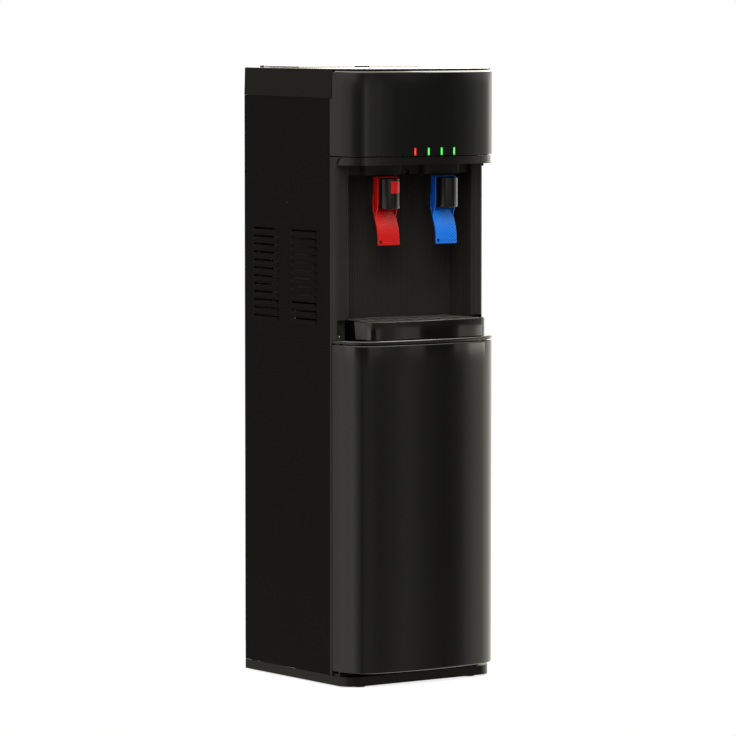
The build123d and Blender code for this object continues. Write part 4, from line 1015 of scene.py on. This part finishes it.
@dataclass
class Tap:
    """One tap: housing and lever, and on the hot one the safety button."""

    name: str
    x: float
    gloss: Finish
    colour: Finish
    grip: Finish
    button: Finish | None = None
    half: float = 19.0
    nose: float = 295.5
    rear: float = 282.0
    neck: float = 270.0
    neck_half: float = 10.0
    neck_low: float = 834.0
    neck_high: float = 853.0
    low: float = 806.0
    high: float = 856.0
    edge: float = 1.3
    nozzle: float = 4.0
    nozzle_depth: float = 298.0
    nozzle_lip: float = 1.2
    nozzle_bore: float = 14.0
    button_half: float = 8.5
    button_low: float = 831.7
    button_high: float = 852.6
    button_rear: float = 307.0
    lever_rear: float = 280.0
    lever_front: float = 293.4
    lever_foot: float = 800.0
    lever_top: float = 859.6
    lever_wall: float = 2.2
    web_top: float = 828.0
    web_thick: float = 2.2
    arm_round: float = 1.05
    lever_gap: float = 0.6
    arm_foot: tuple[Point, ...] = (
        (281.2, 798.0, 2.0), (283.6, 789.6, 0.4), (286.3, 789.2, 0.4), (286.6, 794.0, 2.0),
        (288.5, 800.0, 4.0), (291.3, 806.0, 5.0), (293.4, 812.0, 5.0),
    )
    paddle_half: float = 22.3
    paddle_thick: float = 2.6
    paddle_face: tuple[tuple[float, float], ...] = (
        (744.0, 294.2), (749.0, 294.6), (754.0, 294.9), (761.0, 294.5), (768.0, 293.4), (775.0, 291.6),
        (782.0, 289.0), (789.0, 286.4), (796.0, 284.4), (803.0, 282.4), (808.0, 280.0),
    )

    def build(self) -> None:
        """Make the housing, the lever and the button."""
        self.housing()
        self.lever()
        if self.button:
            self.safety_button(self.button)

    def outline(self, marks: Sequence[float] = ()) -> Ring:
        """D-shaped plan of the housing.

        Args:
            marks: widths from its middle that have to fall on a point of the nose.

        Returns:
            Points of width and depth.
        """
        turns = {math.pi * step / 48 for step in range(49)}
        wanted = [math.acos(mark / self.half) for mark in marks]
        near = math.pi / 96
        kept = [turn for turn in turns if all(abs(turn - mark) > near for mark in wanted)]
        arc = [
            (self.x + self.half * math.cos(turn), self.nose + self.half * math.sin(turn))
            for turn in sorted(kept + wanted)
        ]
        return [*arc, (self.x - self.half, self.rear + 0.8), (self.x - self.half + 0.8, self.rear),
                (self.x + self.half - 0.8, self.rear), (self.x + self.half, self.rear + 0.8)]

    def housing(self) -> None:
        """Housing with rounded edges, the nozzle under it and the neck behind it."""
        shape = Shape()
        gap = 0.1
        marks = (-self.button_half - gap, self.button_half + gap) if self.button else ()
        ring = self.outline(marks)
        levels = foot_roll(self.edge, self.low, 4)
        low_row = len(levels)
        if self.button:
            levels += [(0.0, self.button_low - gap), (0.0, self.button_high + gap)]
        levels += top_roll(self.edge * 0.6, self.high, 4)
        rows = [shape.ring((x, d, z) for x, d in inset_ring(ring, inset)) for inset, z in levels]
        gaps = []
        if self.button:
            for place, (a, b) in enumerate(zip(ring, ring[1:])):
                reach = self.button_half + gap + 0.01
                if a[1] > self.nose and max(abs(a[0] - self.x), abs(b[0] - self.x)) < reach:
                    gaps.append(place)
        for index, (low, high) in enumerate(zip(rows, rows[1:])):
            shape.bridge(low, high, skip=gaps if index == low_row else ())
        shape.faces.append(tuple(rows[-1]))
        self.nozzle_ring(shape, rows[0])
        if gaps:
            self.pocket(shape, rows[low_row], rows[low_row + 1], gaps)
        x0, x1 = self.x - self.neck_half, self.x + self.neck_half
        shape.block(x0, x1, self.neck, self.rear + 0.5, self.neck_low, self.neck_high, 0.5)
        piece = shape.build(f"{self.name}_housing", "cabinet", self.gloss)
        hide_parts(f"{self.name}_tap_body")

    def nozzle_ring(self, shape: Shape, bottom: list[int]) -> None:
        """Close the bottom round the bore of the nozzle, with a raised lip.

        Args:
            shape: mesh to add to.
            bottom: numbers of the lowest ring of the housing.
        """
        flat = [shape.points[index] for index in bottom]
        rings = []
        lip = self.low - self.nozzle_lip
        for reach, z in ((2.2, self.low), (1.6, lip), (0.0, lip), (0.0, self.low + self.nozzle_bore)):
            row = []
            for x, d, _ in flat:
                away = Vector((x - self.x, d - self.nozzle_depth)).normalized() * (self.nozzle + reach)
                row.append((self.x + away.x, self.nozzle_depth + away.y, z))
            rings.append(shape.ring(row))
        shape.bridge(bottom, rings[0])
        for low, high in zip(rings, rings[1:]):
            shape.bridge(low, high)
        shape.faces.append(tuple(rings[-1]))

    def pocket(self, shape: Shape, low: list[int], high: list[int], gaps: list[int]) -> None:
        """Walls and floor of the pocket behind the button.

        Args:
            shape: mesh to add to.
            low: row at the pocket's bottom.
            high: row at its top.
            gaps: places along the rows that are open.
        """
        edge = [low[place] for place in gaps] + [low[gaps[-1] + 1], high[gaps[-1] + 1]]
        edge += [high[place] for place in reversed(gaps)]
        deep = self.button_rear - 3.2
        back = shape.ring((shape.points[index][0], deep, shape.points[index][2]) for index in edge)
        shape.bridge(edge, back)
        shape.faces.append(tuple(back))

    def safety_button(self, finish: Finish) -> None:
        """Curved button that stands a little proud of the nose.

        Args:
            finish: finish of the button.
        """
        shape = Shape()
        radius = self.half + 0.8
        limit = math.asin(self.button_half / radius)
        arc = [limit * (1 - 2 * step / 16) for step in range(17)]
        outline: Ring = [(self.x + radius * math.sin(t), self.nose + radius * math.cos(t)) for t in arc]
        outline += [(self.x - self.button_half, self.button_rear), (self.x + self.button_half, self.button_rear)]
        shape.prism(outline, Axis.UP, self.button_low, self.button_high, 1.1)
        piece = shape.build("safety_button_cap", "safety_button_body", finish)
        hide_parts("hot_safety_button")

    def lever(self) -> None:
        """Two arms, top band, rear web and the curved paddle."""
        shape = Shape()
        inner = self.half + self.lever_gap
        outer = inner + self.lever_wall
        rear, front, foot, top = self.lever_rear, self.lever_front, self.lever_foot, self.lever_top
        round_top = 5.0
        heel = (rear - 0.6, foot + 3, 1.0)
        side = rounded([heel, *self.arm_foot, (front, top, round_top), (rear - 0.6, top, 0.9)], 6)
        for sign in (-1, 1):
            x0, x1 = sorted((self.x + sign * inner, self.x + sign * outer))
            shape.prism(side, Axis.ACROSS, x0, x1, self.arm_round)
        under = top - self.lever_wall
        start = math.acos((round_top - self.lever_wall) / round_top)
        turn = [start * (1 - step / 6) for step in range(7)]
        arc = [(front - round_top * (1 - math.sin(t)), top - round_top * (1 - math.cos(t))) for t in turn]
        band = [(rear - 0.6, under), *arc, (rear - 0.6, top)]
        shape.prism(band, Axis.ACROSS, self.x - inner - 0.4, self.x + inner + 0.4, 0.05)
        shape.block(self.x - outer, self.x + outer, rear - self.web_thick, rear, foot, self.web_top, 0.6)
        self.paddle(shape)
        piece = shape.build(f"{self.name}_lever_moulding", f"{self.name}_lever_body", self.colour)

        def gripped(face: bpy.types.MeshPolygon) -> bool:
            """Whether a face is on the front of the paddle."""
            within = abs(face.center.x / MM - self.x) < self.paddle_half - 1
            return within and face.center.z < self.lever_foot * MM and face.normal.y < -0.7

        # The grip faces carry the hatch; on the cold lever they are also a lighter blue, painted light on the paddle
        # front.
        paint(piece, self.grip, gripped)
        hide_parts(f"{self.name}_lever")

    def paddle(self, shape: Shape) -> None:
        """S-curved paddle with a lip near its foot and a small hole.

        Args:
            shape: mesh to add to.
        """
        half, thick = self.paddle_half, self.paddle_thick
        heights, depths = zip(*self.paddle_face)
        lip = heights[0] + 5.0
        hole = (self.x - half + 3.5, self.x - half + 7.7)
        hole_low, hole_high = lip - 2.0, lip + 3.6
        levels = [heights[0] + (heights[-1] - heights[0]) * step / 44 for step in range(45)]
        levels = [z for z in levels if all(abs(z - mark) > 0.6 for mark in (lip, hole_low, hole_high))]
        levels = sorted([*levels, heights[0] + 0.25, heights[0] + 0.6, lip - 0.3, lip + 0.3, hole_low, hole_high])
        made = []
        for z in levels:
            front = smooth(heights, depths, z)
            proud = 1.2 if z < lip else 0.0
            foot = min(1.0, (z - heights[0]) / 0.9)
            pinch = 0.9 * (1 - math.sqrt(1 - (1 - foot) ** 2))
            ring = self.paddle_ring(front + proud - pinch, front - thick + pinch, half - pinch, hole, z)
            made.append(shape.ring(ring))
        start, end = levels.index(hole_low), levels.index(hole_high)
        front_place, rear_place = 5, 17
        for index, (low, high) in enumerate(zip(made, made[1:])):
            shape.bridge(low, high, skip=(front_place, rear_place) if start <= index < end else ())
        shape.faces += [tuple(made[0]), tuple(made[-1])]
        rise = made[start : end + 1]
        fronts = [row[front_place] for row in rise] + [row[front_place + 1] for row in reversed(rise)]
        rears = [row[rear_place + 1] for row in rise] + [row[rear_place] for row in reversed(rise)]
        shape.bridge(fronts, rears)

    def paddle_ring(self, front: float, rear: float, half: float, hole: tuple[float, float], z: float) -> list[Point]:
        """One level of the paddle.

        Args:
            front: depth of its face.
            rear: depth of its back.
            half: half its width.
            hole: widths of the sides of the hole.
            z: its height.

        Returns:
            Points round the level, four of them on the sides of the hole.
        """
        left, right = self.x - half, self.x + half
        edge = (front - rear) * 0.36
        ring = rounded([(left, front, edge), (right, front, edge), (right, rear, edge), (left, rear, edge)], 4)
        ring[15:15] = [(hole[1], rear), (hole[0], rear)]
        ring[5:5] = [(hole[0], front), (hole[1], front)]
        return [(x, d, z) for x, d in ring]


def smooth(places: Sequence[float], values: Sequence[float], at: float) -> float:
    """Smooth curve through points.

    Args:
        places: rising places of the points.
        values: their values.
        at: place to read.

    Returns:
        The value there.
    """
    last = len(places) - 2
    index = next((i for i in range(last) if at < places[i + 1]), last)
    width = places[index + 1] - places[index]
    share = (at - places[index]) / width

    def slope(point: int) -> float:
        """Slope of the curve at a point."""
        low, high = max(0, point - 1), min(len(places) - 1, point + 1)
        return (values[high] - values[low]) / (places[high] - places[low])

    first, second = slope(index) * width, slope(index + 1) * width
    square, cube = share**2, share**3
    return (
        (2 * cube - 3 * square + 1) * values[index]
        + (cube - 2 * square + share) * first
        + (3 * square - 2 * cube) * values[index + 1]
        + (cube - square) * second
    )


@dataclass
class DripStation:
    """Ledge, tray and grille."""

    trim: Finish
    tray: Finish
    satin: Finish
    grille: Finish
    ledge_low: float = 580.8
    rib_low: float = 578.95
    ledge_high: float = 586.5
    ledge_rear: float = 260.7
    rib_rear: float = 281.0
    rib_insets: tuple[float, float] = (8.0, 10.0)
    floor_half: float = 127.7
    floor_rear: float = 212.3
    floor_front: float = 276.5
    pillar: tuple[float, float] = (140.5, 150.8)
    low: float = 587.0
    high: float = 618.0
    wall: float = 2.5
    wrap: float = 282.0
    slant: float = 5.0
    basin_half: float = 118.0
    basin_rear: float = 215.0

    def build(self) -> None:
        """Make the ledge, the tray and the grille."""
        self.ledge()
        self.tray_shell()
        self.grille_plate()

    def ledge(self) -> None:
        """Trim over the door and the floor behind it."""
        shape = Shape()
        levels = foot_roll(1.2, self.ledge_low, 5) + top_roll(3.0, self.ledge_high, 5)
        shape.stack([(x, d, z) for x, d in CABINET.closed(inset, self.ledge_rear)] for inset, z in levels)
        half, high = self.floor_half, self.ledge_high
        shape.block(-half, half, self.floor_rear, self.floor_front, high - 2.6, high - 0.02, 0.3)
        outer, inner = ([(x, d) for x, d in CABINET.front(inset) if d > self.rib_rear] for inset in self.rib_insets)
        shape.prism([*outer, *reversed(inner)], Axis.UP, self.rib_low, self.ledge_low + 0.4, 0.3)
        piece = shape.build("ledge_moulding", "cabinet", self.trim)
        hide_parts("ledge")
        self.foot_sweeps()

    def foot_sweeps(self) -> None:
        """Hollow gloss sweep in the foot of each pillar."""
        shape = Shape()
        rear, reach, rise, lift = 262.4, 9.0, 15.0, 2.0
        base = self.ledge_high - 0.3
        hollow = [(rear + reach * (1 - math.sin(t)), base + lift + rise * (1 - math.cos(t))) for t in quarter(10)]
        outline = [(rear - 0.3, base), (rear + reach, base), *hollow, (rear - 0.3, base + lift + rise)]
        for sign in (-1, 1):
            x0, x1 = sorted(sign * x for x in self.pillar)
            shape.prism(outline, Axis.ACROSS, x0, x1, 0.05)
        shape.build("foot_sweeps", "cabinet", self.trim)

    def rear(self, z: float) -> float:
        """Depth of the slanted rear edge of the wrapped front.

        Args:
            z: height.

        Returns:
            Depth from the back.
        """
        return self.wrap + self.slant * (self.high - z) / (self.high - self.low)

    def tray_shell(self) -> None:
        """Wrapped front, floor and the narrower basin behind."""
        shape = Shape()
        wall = self.wall
        lip, step = 14.0, self.low + wall
        corners = ((0.0, self.low, 1.2), (0.0, self.high, 1.0), (wall, self.high, 0.6), (wall, step, 2.0))
        profile = rounded([*corners, (lip, step, 0), (lip, self.low, 0)], 4)
        rows = shape.sweep(TRAY, profile, self.rear)
        for index, row in enumerate(rows):
            shape.bridge(row, rows[(index + 1) % len(rows)], closed=False)
        for end in (0, -1):
            shape.faces.append(tuple(row[end] for row in rows))
        half, rear = self.basin_half, self.basin_rear
        high, low = self.high - 1.2, self.low + 1
        slope = [(self.rear(z) + 0.2, z) for z in (low, high)] + [(self.wrap + 4, high), (self.wrap + 8, low)]
        for sign in (-1, 1):
            x0, x1 = sorted((sign * (half - 1), sign * (TRAY.half - 1)))
            shape.prism(slope, Axis.ACROSS, x0, x1, 0.2)
        back = self.wrap + 6
        corners = rounded([(-half, back, 0), (-half, rear, 10), (half, rear, 10), (half, back, 0)], 6)
        half, rear = half - wall, rear + wall
        inner = rounded([(-half, back, 0), (-half, rear, 7.5), (half, rear, 7.5), (half, back, 0)], 6)
        shape.prism(corners + inner[::-1], Axis.UP, self.low, self.high, 0.6)
        half, rear, front = self.basin_half - 1, self.basin_rear + 1, 325
        floor = rounded([(-half, rear, 9), (half, rear, 9), (half, front, 14), (-half, front, 14)], 5)
        shape.prism(floor, Axis.UP, self.low + 0.01, self.low + wall, 0.4)
        piece = shape.build("tray_moulding", "tray", self.tray)

        def flank(face: bpy.types.MeshPolygon) -> bool:
            """Whether a face is on a flat side of the tray."""
            flat = abs(face.normal.x) > 0.99 and abs(face.center.x) > (TRAY.half - 0.2) * MM
            return flat and (BACK * MM - face.center.y) / MM < TRAY.corner_depth - TRAY.corner

        # The flat sides get a lighter grey finish: painted sheen standing in for reflected light.
        paint(piece, self.satin, flank)
        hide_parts("drip_tray")

    def grille_plate(self) -> None:
        """Plate with two rows of short slots, slightly crowned edges."""
        shape = Shape()
        half, rear, low, high = 115.0, 218.0, self.high - 4.0, self.high - 0.6
        plan = Plan(half=half, corner=16.0, corner_depth=330.0, depth=334.0)
        slot, pitch, count = 6.0, 20.0, 11
        rows = ((236.0, 264.0), (282.0, 310.0))
        lines = [rear, *[d for pair in rows for d in pair]]
        widths = [(number - (count - 1) / 2) * pitch for number in range(count)]
        cuts = [-half, *sorted([x + side * slot / 2 for x in widths for side in (-1, 1)]), half]
        grids = [[shape.ring((x, d, z) for x in cuts) for d in lines] for z in (low, high)]
        bottom, top = grids
        shape.grating(bottom, top)
        path = plan.front(0.0, rows=40)
        rims = []
        for grid, z in zip(grids, (low, high)):
            rim = shape.ring((x, d, z) for x, d in path)
            shape.faces.append((*grid[-1], *reversed(rim)))
            rims.append(rim)
        shape.bridge(rims[0], rims[1], closed=False)
        shape.bridge(bottom[0], top[0], closed=False)
        for end in (0, -1):
            shape.bridge([row[end] for row in bottom], [row[end] for row in top], closed=False)
            shape.faces.append((bottom[-1][end], rims[0][end], rims[1][end], top[-1][end]))
        piece = shape.build("grille_plate", "grille", self.grille)

        def slot_wall_shade(face: bpy.types.MeshPolygon) -> bool:
            """Whether a face is a wall of a slot."""
            inside = abs(face.center.x / MM) < half - 1 and rear + 1 < BACK - face.center.y / MM < rows[-1][1] + 1
            return inside and abs(face.normal.z) < 0.5

        # Slot walls take the near-black tray finish: painted shade inside the slots.
        paint(piece, self.tray, slot_wall_shade)
        soften = piece.modifiers.new("soften", "BEVEL")
        soften.width = 0.5 * MM
        soften.segments = 2
        soften.limit_method = "ANGLE"
        piece.modifiers.move(1, 0)
        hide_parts("drip_grille")


@dataclass
class Door:
    """Gloss skin of the door."""

    gloss: Finish
    low: float = 26.5
    high: float = 578.8
    rear: float = 263.2
    edge: float = 2.5
    wall: float = 2.0
    pin: tuple[float, float] = (-145.0, 272.0)
    bore: float = 4.5
    bore_depth: float = 14.0
    rim_depth: float = 5.0

    def build(self) -> None:
        """Closed skin with rounded top and bottom edges, open behind."""
        shape = Shape()
        levels = foot_roll(self.edge, self.low, 5) + top_roll(self.edge, self.high, 5)
        rows = [shape.ring((x, d, z) for x, d in CABINET.closed(inset, self.rear)) for inset, z in levels]
        for low, high in zip(rows, rows[1:]):
            shape.bridge(low, high, closed=False)
        for row, z, deep in ((rows[0], self.low, self.bore_depth), (rows[-1], self.high, -self.bore_depth)):
            turns = [math.tau * step / 24 - math.pi / 2 for step in range(24)]
            circle = [(self.pin[0] + self.bore * math.cos(t), self.pin[1] + self.bore * math.sin(t)) for t in turns]
            mouth, floor = (shape.ring((x, d, at) for x, d in circle) for at in (z, z + deep))
            shape.holed(row, mouth)
            shape.bridge(mouth, floor)
            shape.faces.append(tuple(floor))
        edge = [row[0] for row in rows] + [row[-1] for row in reversed(rows)]
        opening = [(shape.points[index][0], shape.points[index][2]) for index in edge]
        rim = inset_ring(opening, self.wall)
        front = shape.ring((x, self.rear, z) for x, z in rim)
        deep = shape.ring((x, self.rear + self.rim_depth, z) for x, z in rim)
        shape.bridge(edge, front)
        shape.bridge(front, deep)
        shape.faces.append(tuple(deep))
        piece = shape.build("door_skin", "door", self.gloss)
        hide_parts("door_shell")


@dataclass
class Crown:
    """Service lid on the cap."""

    plastic: Finish
    half: float = 135.0
    rear: float = 31.0
    front: float = 133.0
    low: float = 1041.4
    high: float = 1044.0
    notch: float = 14.0
    notch_depth: float = 5.0
    lean: float = 1.3

    def build(self) -> None:
        """Lid with round front corners, a finger notch and a seat under it."""
        shape = Shape()
        half, rear, front, notch = self.half, self.rear, self.front, self.notch
        back = [(-half, rear, 3), (half, rear, 3), (half, front, 4)]
        full = rounded([*back, (-half, front, 4)], 6)
        deep = front - self.notch_depth
        mouth = [(notch, front, 1.6), (notch, deep, 0.6), (-notch, deep, 0.6), (-notch, front, 1.6)]
        cut = rounded([*back, *mouth, (-half, front, 4)], 6)
        split, lean = self.low + 1.9, self.lean
        sides = ((0.1, self.low), (0.0, self.low + 0.1), (lean, split))
        roof = ((lean - 0.02, split - 0.03), (lean + 0.4, self.high - 0.25), (lean + 1.2, self.high))
        for outline, levels in ((cut, sides), (full, roof)):
            shape.stack([(x, d, z) for x, d in inset_ring(outline, inset)] for inset, z in levels)
        shape.block(-half + 9, half - 9, rear + 7.5, front - 9, self.low - 4.4, self.low + 0.1, 0.5)
        piece = shape.build("lid_moulding", "lid", self.plastic)
        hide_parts("top_lid")


# Studio


@dataclass(frozen=True)
class Card:
    """Curved light card round the cooler that only gloss sees."""

    name: str
    low: float
    high: float
    stops: tuple[tuple[float, float], ...]
    radius: float = 2.2

    def level(self, azimuth: float) -> float:
        """Read the level between two stops.

        Args:
            azimuth: degrees from the front towards the right.

        Returns:
            The level there.
        """
        for (start, first), (end, second) in zip(self.stops, self.stops[1:]):
            if azimuth <= end:
                return first + (second - first) * (azimuth - start) / (end - start)
        return self.stops[-1][1]

    def build(self, tint: Point) -> None:
        """Make the strip and its light.

        Args:
            tint: colour of the light.
        """
        first, last = self.stops[0][0], self.stops[-1][0]
        places = sorted({*[stop[0] for stop in self.stops], *range(math.ceil(first), int(last), 3)})
        turns = [math.radians(place) for place in places]
        ring = [(self.radius * math.sin(t), -self.radius * math.cos(t)) for t in turns]
        count = len(places)
        faces = [(here, here + 1, count + here + 1, count + here) for here in range(count - 1)]
        mesh = bpy.data.meshes.new(self.name)
        mesh.from_pydata([(x, y, z) for z in (self.low, self.high) for x, y in ring], [], faces)
        light = mesh.attributes.new("light", "FLOAT_COLOR", "POINT")
        for index, place in enumerate([*places, *places]):
            light.data[index].color = (*[self.level(place) * part for part in tint], 1)
        material = node_material(self.name)
        net = Net(material.node_tree)
        net.tree.nodes.clear()
        source = net.node("Attribute", attribute_name="light").outputs["Color"]
        net.node("OutputMaterial", {"Surface": net.node("Emission", {"Color": source}).outputs["Emission"]})
        mesh.materials.append(material)
        strip = show(self.name, mesh)
        strip.visible_camera = strip.visible_diffuse = strip.visible_shadow = False


REAR_STOPS = ((128, 7.0), (160, 4.5), (206, 3.0))
CARDS = (
    Card("crown_card", 1.15, 1.8, ((20, 5.0), (45, 13.0), (70, 17.0), (110, 15.0), *REAR_STOPS), 0.45),
    Card("rear_card", 1.046, 1.15, ((110, 9.0), *REAR_STOPS), 0.45),
    Card("head_card", 0.735, 1.0, (
        (-140, 0.5), (-124, 0.64), (-98, 0.6), (-86, 0.5), (-75, 0.25), (-65, 0.15), (-54, 0.12), (-44, 0.27),
        (-34, 0.66), (-24, 0.42), (-4, 0.33), (7, 0.34), (14, 0.25), (18, 0.13), (35, 0.09), (41, 0.12),
        (45.5, 0.2), (49.5, 0.37), (51.5, 0.6), (57, 0.85), (74, 1.15), (97, 2.6),
    )),
    Card("tray_card", 0.42, 0.475, (
        (-140, 0.75), (-124, 0.85), (-112, 0.95), (-98, 1.6), (-78, 1.6), (-66, 0.1), (-33, 0.05), (-22, 0.66),
        (8, 0.66), (18.5, 0.31), (20.7, 0.31), (23, 0.54), (25, 0.69), (28.9, 0.62), (30.0, 0.12), (31.3, 0.05),
        (39.2, 0.06), (41.2, 0.2), (42.1, 0.82), (45.7, 0.86), (46.9, 1.2), (48.3, 2.9), (64, 5.8),
    )),
)


@dataclass
class Studio:
    """Camera, white sweep and lights."""

    place: Point = (-4.770, -6.670, 1.138)
    yaw: float = 35.48
    pitch: float = 4.26
    lens: float = 234.8
    floor_radius: float = 0.5
    peak: float = 2.2
    tint: Point = (1.03, 1.0, 0.9)
    ceiling: float = 1.1
    overhead: float = 4.5
    plain: float = 0.4
    softboxes: tuple[tuple[float, float], ...] = (
        (-180, 0.62), (-150, 0.4), (-141, 0.58), (-123, 0.81), (-104, 0.85), (-86, 0.93), (-76, 0.84),
        (-68, 0.59), (-50, 0.17), (-31, 0.26), (-13, 0.25), (5, 0.19), (17.5, 0.18), (22, 0.26),
        (25, 0.32), (28.5, 0.28), (33, 0.18), (40, 0.1), (44, 0.14), (46, 0.2), (48, 0.38), (50.5, 0.6),
        (55, 1.07), (65, 1.62), (84, 1.81), (102, 1.9), (120, 1.7), (139, 1.5), (160, 1.3),
    )

    def build(self) -> None:
        """Set up camera, world, floor and lamps."""
        self.camera()
        self.world()
        self.floor()
        for card in CARDS:
            card.build(self.tint)
        self.lamp("key", (-1.5, -2.1, 3.4), 1.8, 60)
        self.lamp("low", (-2.2, -3.2, 2.4), 1.4, 38)
        self.lamp("fill", (2.8, -1.4, 1.8), 1.6, 4)
        bpy.context.scene.view_settings.view_transform = "Standard"

    def camera(self) -> None:
        """Place the camera on the fit of the photograph."""
        yaw, pitch = math.radians(self.yaw), math.radians(self.pitch)
        ahead = Vector((math.sin(yaw) * math.cos(pitch), math.cos(yaw) * math.cos(pitch), -math.sin(pitch)))
        right = Vector((math.cos(yaw), -math.sin(yaw), 0))
        up = right.cross(ahead)
        data = bpy.data.cameras.new("camera")
        data.lens = self.lens
        data.sensor_width = 36
        data.clip_end = 50
        eye = show("camera", data)
        turn = Matrix((right, up, -ahead)).transposed().to_4x4()
        eye.matrix_world = Matrix.Translation(self.place) @ turn
        bpy.context.scene.camera = eye

    def world(self) -> None:
        """White to the camera, softboxes to gloss, and a plain level to the rest."""
        world = bpy.data.worlds.new("studio")
        bpy.context.scene.world = world
        world.use_nodes = True
        net = Net(world.node_tree)
        path = net.node("LightPath").outputs
        way = net.node("SeparateXYZ", {"Vector": net.node("TexCoord").outputs["Generated"]}).outputs
        turn = net.maths("ARCTAN2", way["X"], net.maths("MULTIPLY", way["Y"], -1.0))
        ramp = net.node("ValToRGB", {"Fac": net.maths("MULTIPLY_ADD", turn, 1 / math.tau, 0.5)})
        stops = ramp.color_ramp.elements
        for index, (azimuth, level) in enumerate(self.softboxes):
            where = azimuth / 360 + 0.5
            stop = stops[index] if index < 1 else stops.new(where)
            stop.position = where
            stop.color = grey(level / self.peak)
        last = stops[len(stops) - 1]
        last.position = 1.0
        last.color = grey(self.softboxes[0][1] / self.peak)
        high = net.blend(net.spread(way["Z"], 0, 1, 0.2, 0.6), ramp.outputs["Color"], grey(self.ceiling / self.peak))
        bank = net.blend(net.spread(way["Z"], 0, 1, 0.62, 0.75), high, grey(self.overhead / self.peak))
        tinted = net.node("VectorMath", {0: bank, 1: [self.peak * part for part in self.tint]}, operation="MULTIPLY")
        gloss = net.maths("MAXIMUM", path["Is Glossy Ray"], path["Is Transmission Ray"])
        soft = net.blend(gloss, grey(self.plain), tinted.outputs["Vector"])
        white = net.blend(path["Is Camera Ray"], soft, grey(1))
        net.feed(net.tree.nodes["Background"], {"Color": white})

    def floor(self) -> None:
        """Pale disc that keeps the contact shadow."""
        mesh = bpy.data.meshes.new("floor")
        form = bmesh.new()
        bmesh.ops.create_circle(form, cap_ends=True, segments=96, radius=self.floor_radius)
        form.to_mesh(mesh)
        form.free()
        disc = show("floor", mesh)
        disc.visible_glossy = False
        material = node_material("floor")
        Net(material.node_tree).shade({
            "Base Color": grey(0.8), "Roughness": 0.9, "Specular IOR Level": 0.0,
            "Emission Color": grey(1), "Emission Strength": 0.8,
        })
        mesh.materials.append(material)

    def lamp(self, name: str, place: Point, size: float, power: float) -> None:
        """Add a square soft lamp aimed at the middle of the cabinet.

        Args:
            name: name of the lamp.
            place: where it hangs, in metres.
            size: side of the square in metres.
            power: watts.
        """
        data = bpy.data.lights.new(name, "AREA")
        data.size = size
        data.energy = power
        lamp = show(name, data)
        aim = Vector((0, 0, 0.6)) - Vector(place)
        lamp.matrix_world = Matrix.Translation(place) @ aim.to_track_quat("-Z", "Y").to_matrix().to_4x4()
        lamp.visible_glossy = False


# Whole cooler


@dataclass
class Dresser:
    """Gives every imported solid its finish."""

    frame: dict
    palette: dict[str, Finish]
    painted: dict[str, str]

    def dress(self) -> None:
        """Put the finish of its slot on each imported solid."""
        slots = {row["node"]: row["material_slot"] for row in self.frame["record"]["subparts"]}
        for name, solid in self.frame["nodes"].items():
            finish = self.palette[self.painted.get(name, slots[name])]
            solid.data.materials.clear()
            solid.data.materials.append(finish.material())
            LOG.info("dressed %s as %s", name, finish.slot)


def main() -> None:
    """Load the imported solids, dress them and set up the studio."""
    logging.basicConfig(level=logging.INFO, format="%(message)s")
    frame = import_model()
    palette = finishes()
    Dresser(frame, palette, {"panel_screws": "screw_black"}).dress()

    def pick(*slots: str) -> list[Finish]:
        """Finishes by name."""
        return [palette[slot] for slot in slots]

    pieces = (
        Cabinet(*pick("side_steel")),
        Crown(*pick("lid_plastic")),
        Head(*pick("head_gloss", "lamp_red", "lamp_green", "core_red", "core_green")),
        Bay(*pick("bay_plastic", "lamp_clear")),
        Tap("hot", -TAP_X, *pick("tap_gloss", "hot_red", "hot_grip", "button_red")),
        Tap("cold", TAP_X, *pick("tap_gloss", "cold_blue", "cold_grip_and_painted_light")),
        DripStation(*pick("trim_gloss", "tray_gloss", "tray_painted_sheen", "grille_plastic")),
        Door(*pick("door_gloss")),
    )
    for piece in pieces:
        piece.build()
        LOG.info("built %s", type(piece).__name__)
    Studio().build()


if __name__ == "__main__":
    main()
